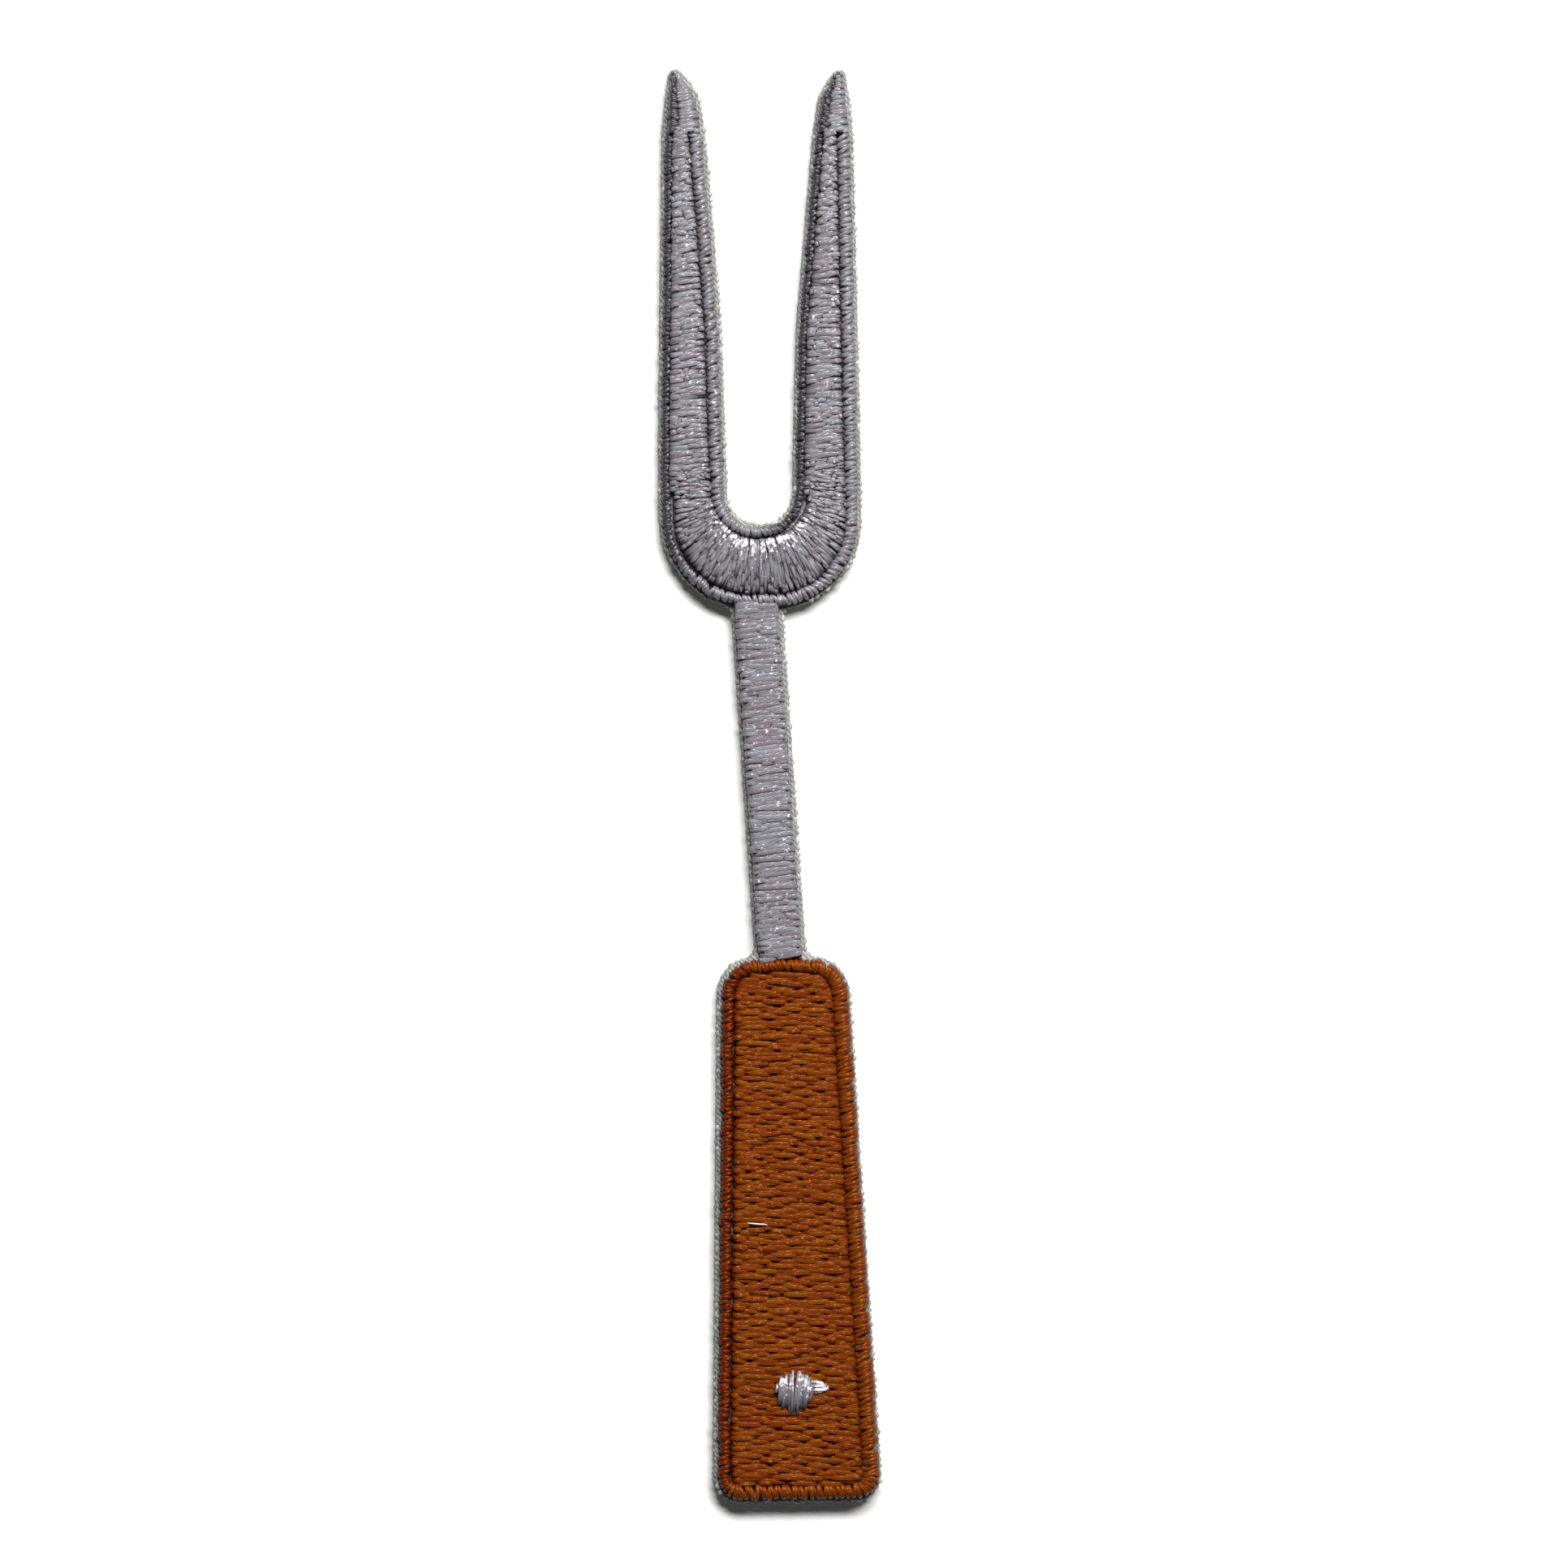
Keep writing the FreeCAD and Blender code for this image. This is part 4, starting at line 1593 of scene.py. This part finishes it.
@dataclass
class Underlays:
    """Sparse zigzags under each region, which hold the cloth flat."""

    pitch: float = 0.75
    handle_step: float = 0.9
    thread: Thread = Thread(width=0.28, thickness=0.13, wander=0.03, lift_wander=0.0, rings=6)

    def build(self) -> None:
        """Sews the underlay of every region."""
        hidden_columns("underlay", Slot.GREY, 51, self.pitch, self.thread, root=0.0)
        RowFill("handle_underlay", Slot.BROWN, 55, self.handle_step, self.thread, tilt=90.0).build()


@dataclass
class BobbinSide:
    """The white threads on the back, which lie in the film."""

    pitch: float = 0.3
    root: float = 0.6
    thread: Thread = Thread(width=0.2, thickness=0.08, wander=0.02, lift_wander=0.0, rings=6)

    def build(self) -> None:
        """Lays the bobbin threads of every region."""
        hidden_columns("bobbin", Slot.BOBBIN, 61, self.pitch, self.thread, self.root)
        RowFill(
            "handle_bobbin", Slot.BOBBIN, 65, self.pitch, self.thread, reach=0.0, root=self.root
        ).build()


@dataclass
class PullUp:
    """A loop of bobbin thread that came up through the handle's fill.

    Args:
        slope: How far above and below the middle its left and right end lie, in millimetres.
        foot: How far under the solid's top its ends are, in millimetres.
        rise: How far its crest stands over the solid's top, in millimetres.
        thread: The thread's size.
    """

    slope: tuple[float, float] = (0.1, -0.05)
    foot: float = 0.28
    rise: float = 0.04
    thread: Thread = Thread(width=0.11, thickness=0.11, wander=0.02, lift_wander=0.0, rings=12, sides=8)

    def build(self) -> None:
        """Lays the loop between the two ends of its solid."""
        rng = np.random.default_rng(71)
        low, high = (np.array(corner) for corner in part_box("bobbin_pull_up"))
        middle, foot = (low[1] + high[1]) / 2, high[2] - self.foot * MM
        start, end = (
            np.array([[corner[0], middle + slope * MM, foot]])
            for corner, slope in zip((low, high), self.slope)
        )
        loop = Stitches(start, end, np.array([high[2] + self.rise * MM]), self.thread, 2.0)
        dressed(loop.skin(rng).piece("bobbin_loop"), Slot.BOBBIN, "bobbin_pull_up")


# ---------------------------------------------------------------- studio


@dataclass
class Studio:
    """A pale floor, one soft lamp beyond the tines and a camera that looks almost straight down.

    Args:
        floor_half: Half the floor's width, in metres.
        floor_tint: The floor's colour.
        key_direction: Where the lamp is, seen from the patch.
        key_distance: How far away it is, in metres.
        key_size: Its width and its height, in metres.
        key_power: Its power in watts.
        key_tint: Its colour.
        sky_tint: Colour of the surroundings.
        sky_glow: How much light they give.
        sky_seen: How bright they are where the camera sees them.
        frame_width: Width of the view at the patch, in millimetres.
        distance: From the camera to the patch, in metres.
        lens_width: Width of the camera's sensor, in millimetres.
        clip: Nearest and furthest distance that the camera sees, in metres.
        lean: How far the camera stands to the left of straight above, in degrees.
        roll: How far the camera is turned, in degrees.
        aim: The point that it looks at, in millimetres.
    """

    floor_half: float = 0.55
    floor_tint: Colour = (0.93, 0.93, 0.93, 1.0)
    key_direction: tuple[float, float, float] = (0.25, 0.85, 1.0)
    key_distance: float = 0.6
    key_size: tuple[float, float] = (0.50, 0.15)
    key_power: float = 7.6
    key_tint: tuple[float, float, float] = (1.0, 0.985, 0.965)
    sky_tint: Colour = (0.97, 0.985, 1.0, 1.0)
    sky_glow: float = 0.05
    sky_seen: float = 1.0
    frame_width: float = 105.0
    distance: float = 0.62
    lens_width: float = 36.0
    clip: tuple[float, float] = (0.01, 10.0)
    lean: float = 4.0
    roll: float = 1.62
    aim: tuple[float, float, float] = (0.96, 0.04, 1.2)

    def floor(self) -> None:
        """Lays the floor."""
        corners = np.array([[-1, -1, 0], [1, -1, 0], [1, 1, 0], [-1, 1, 0]]) * self.floor_half
        shown = Skin(points=corners, quads=np.array([[0, 1, 2, 3]])).piece("floor")
        made = bpy.data.materials.new("floor paper")
        made.use_nodes = True
        shader = made.node_tree.nodes["Principled BSDF"].inputs
        shader["Base Color"].default_value = self.floor_tint
        shader["Roughness"].default_value = 1.0
        shader["Specular IOR Level"].default_value = 0.0
        shown.data.materials.append(made)

    def lamp(self) -> None:
        """Hangs the soft lamp, which looks at the origin."""
        data = bpy.data.lights.new("key", "AREA")
        data.shape = "RECTANGLE"
        data.size, data.size_y = self.key_size
        data.energy = self.key_power
        data.color = self.key_tint
        lamp = bpy.data.objects.new("key", data)
        away = Vector(self.key_direction).normalized()
        lamp.location = away * self.key_distance
        lamp.rotation_mode = "QUATERNION"
        lamp.rotation_quaternion = away.to_track_quat("Z", "Y")
        bpy.context.scene.collection.objects.link(lamp)

    def surroundings(self) -> None:
        """Sets the pale surroundings, which give little light and look bright."""
        world = bpy.data.worlds.new("surroundings")
        world.use_nodes = True
        net = Wiring(world.node_tree)
        seen = net.add("ShaderNodeLightPath").outputs["Is Camera Ray"]
        glow = world.node_tree.nodes["Background"].inputs
        glow["Color"].default_value = self.sky_tint
        net.feed(glow["Strength"], net.stretch(seen, (0.0, 1.0), (self.sky_glow, self.sky_seen)))
        bpy.context.scene.world = world
        bpy.context.scene.view_settings.view_transform = "Standard"

    def camera(self) -> None:
        """Sets the camera above the patch, leaning a little to its left side."""
        data = bpy.data.cameras.new("camera")
        data.sensor_width = self.lens_width
        data.lens = self.lens_width * self.distance / (self.frame_width * MM)
        data.clip_start, data.clip_end = self.clip
        camera = bpy.data.objects.new("camera", data)
        lean, roll = math.radians(self.lean), math.radians(self.roll)
        back = Vector((-math.sin(lean), 0.0, math.cos(lean)))
        right = Vector((math.sin(roll), math.cos(roll), 0.0)).cross(back).normalized()
        camera.location = Vector(self.aim) * MM + back * self.distance
        camera.rotation_mode = "QUATERNION"
        camera.rotation_quaternion = Matrix((right, back.cross(right), back)).transposed().to_quaternion()
        bpy.context.scene.collection.objects.link(camera)
        bpy.context.scene.camera = camera

    def build(self) -> None:
        """Sets up the studio."""
        self.floor()
        self.lamp()
        self.surroundings()
        self.camera()


def main() -> None:
    """Builds the studio and every part of the patch, in order."""
    logging.basicConfig(level=logging.INFO, format="%(name)s %(message)s")
    Studio().build()
    parts = (
        CutLayer("heat_seal_film", Slot.FILM, seed=3, spread=0.07),
        CutLayer("stabilizer_backing", Slot.STABILIZER, seed=4, spread=-0.02),
        CutLayer("base_twill", Slot.TWILL, seed=5, spread=0.0),
        EdgeYarns(), Underlays(), BobbinSide(), ForkHead(), Shank(), Handle(), RivetSpot(), PullUp(),
    )
    for part in parts:
        part.build()


if __name__ == "__main__":
    main()
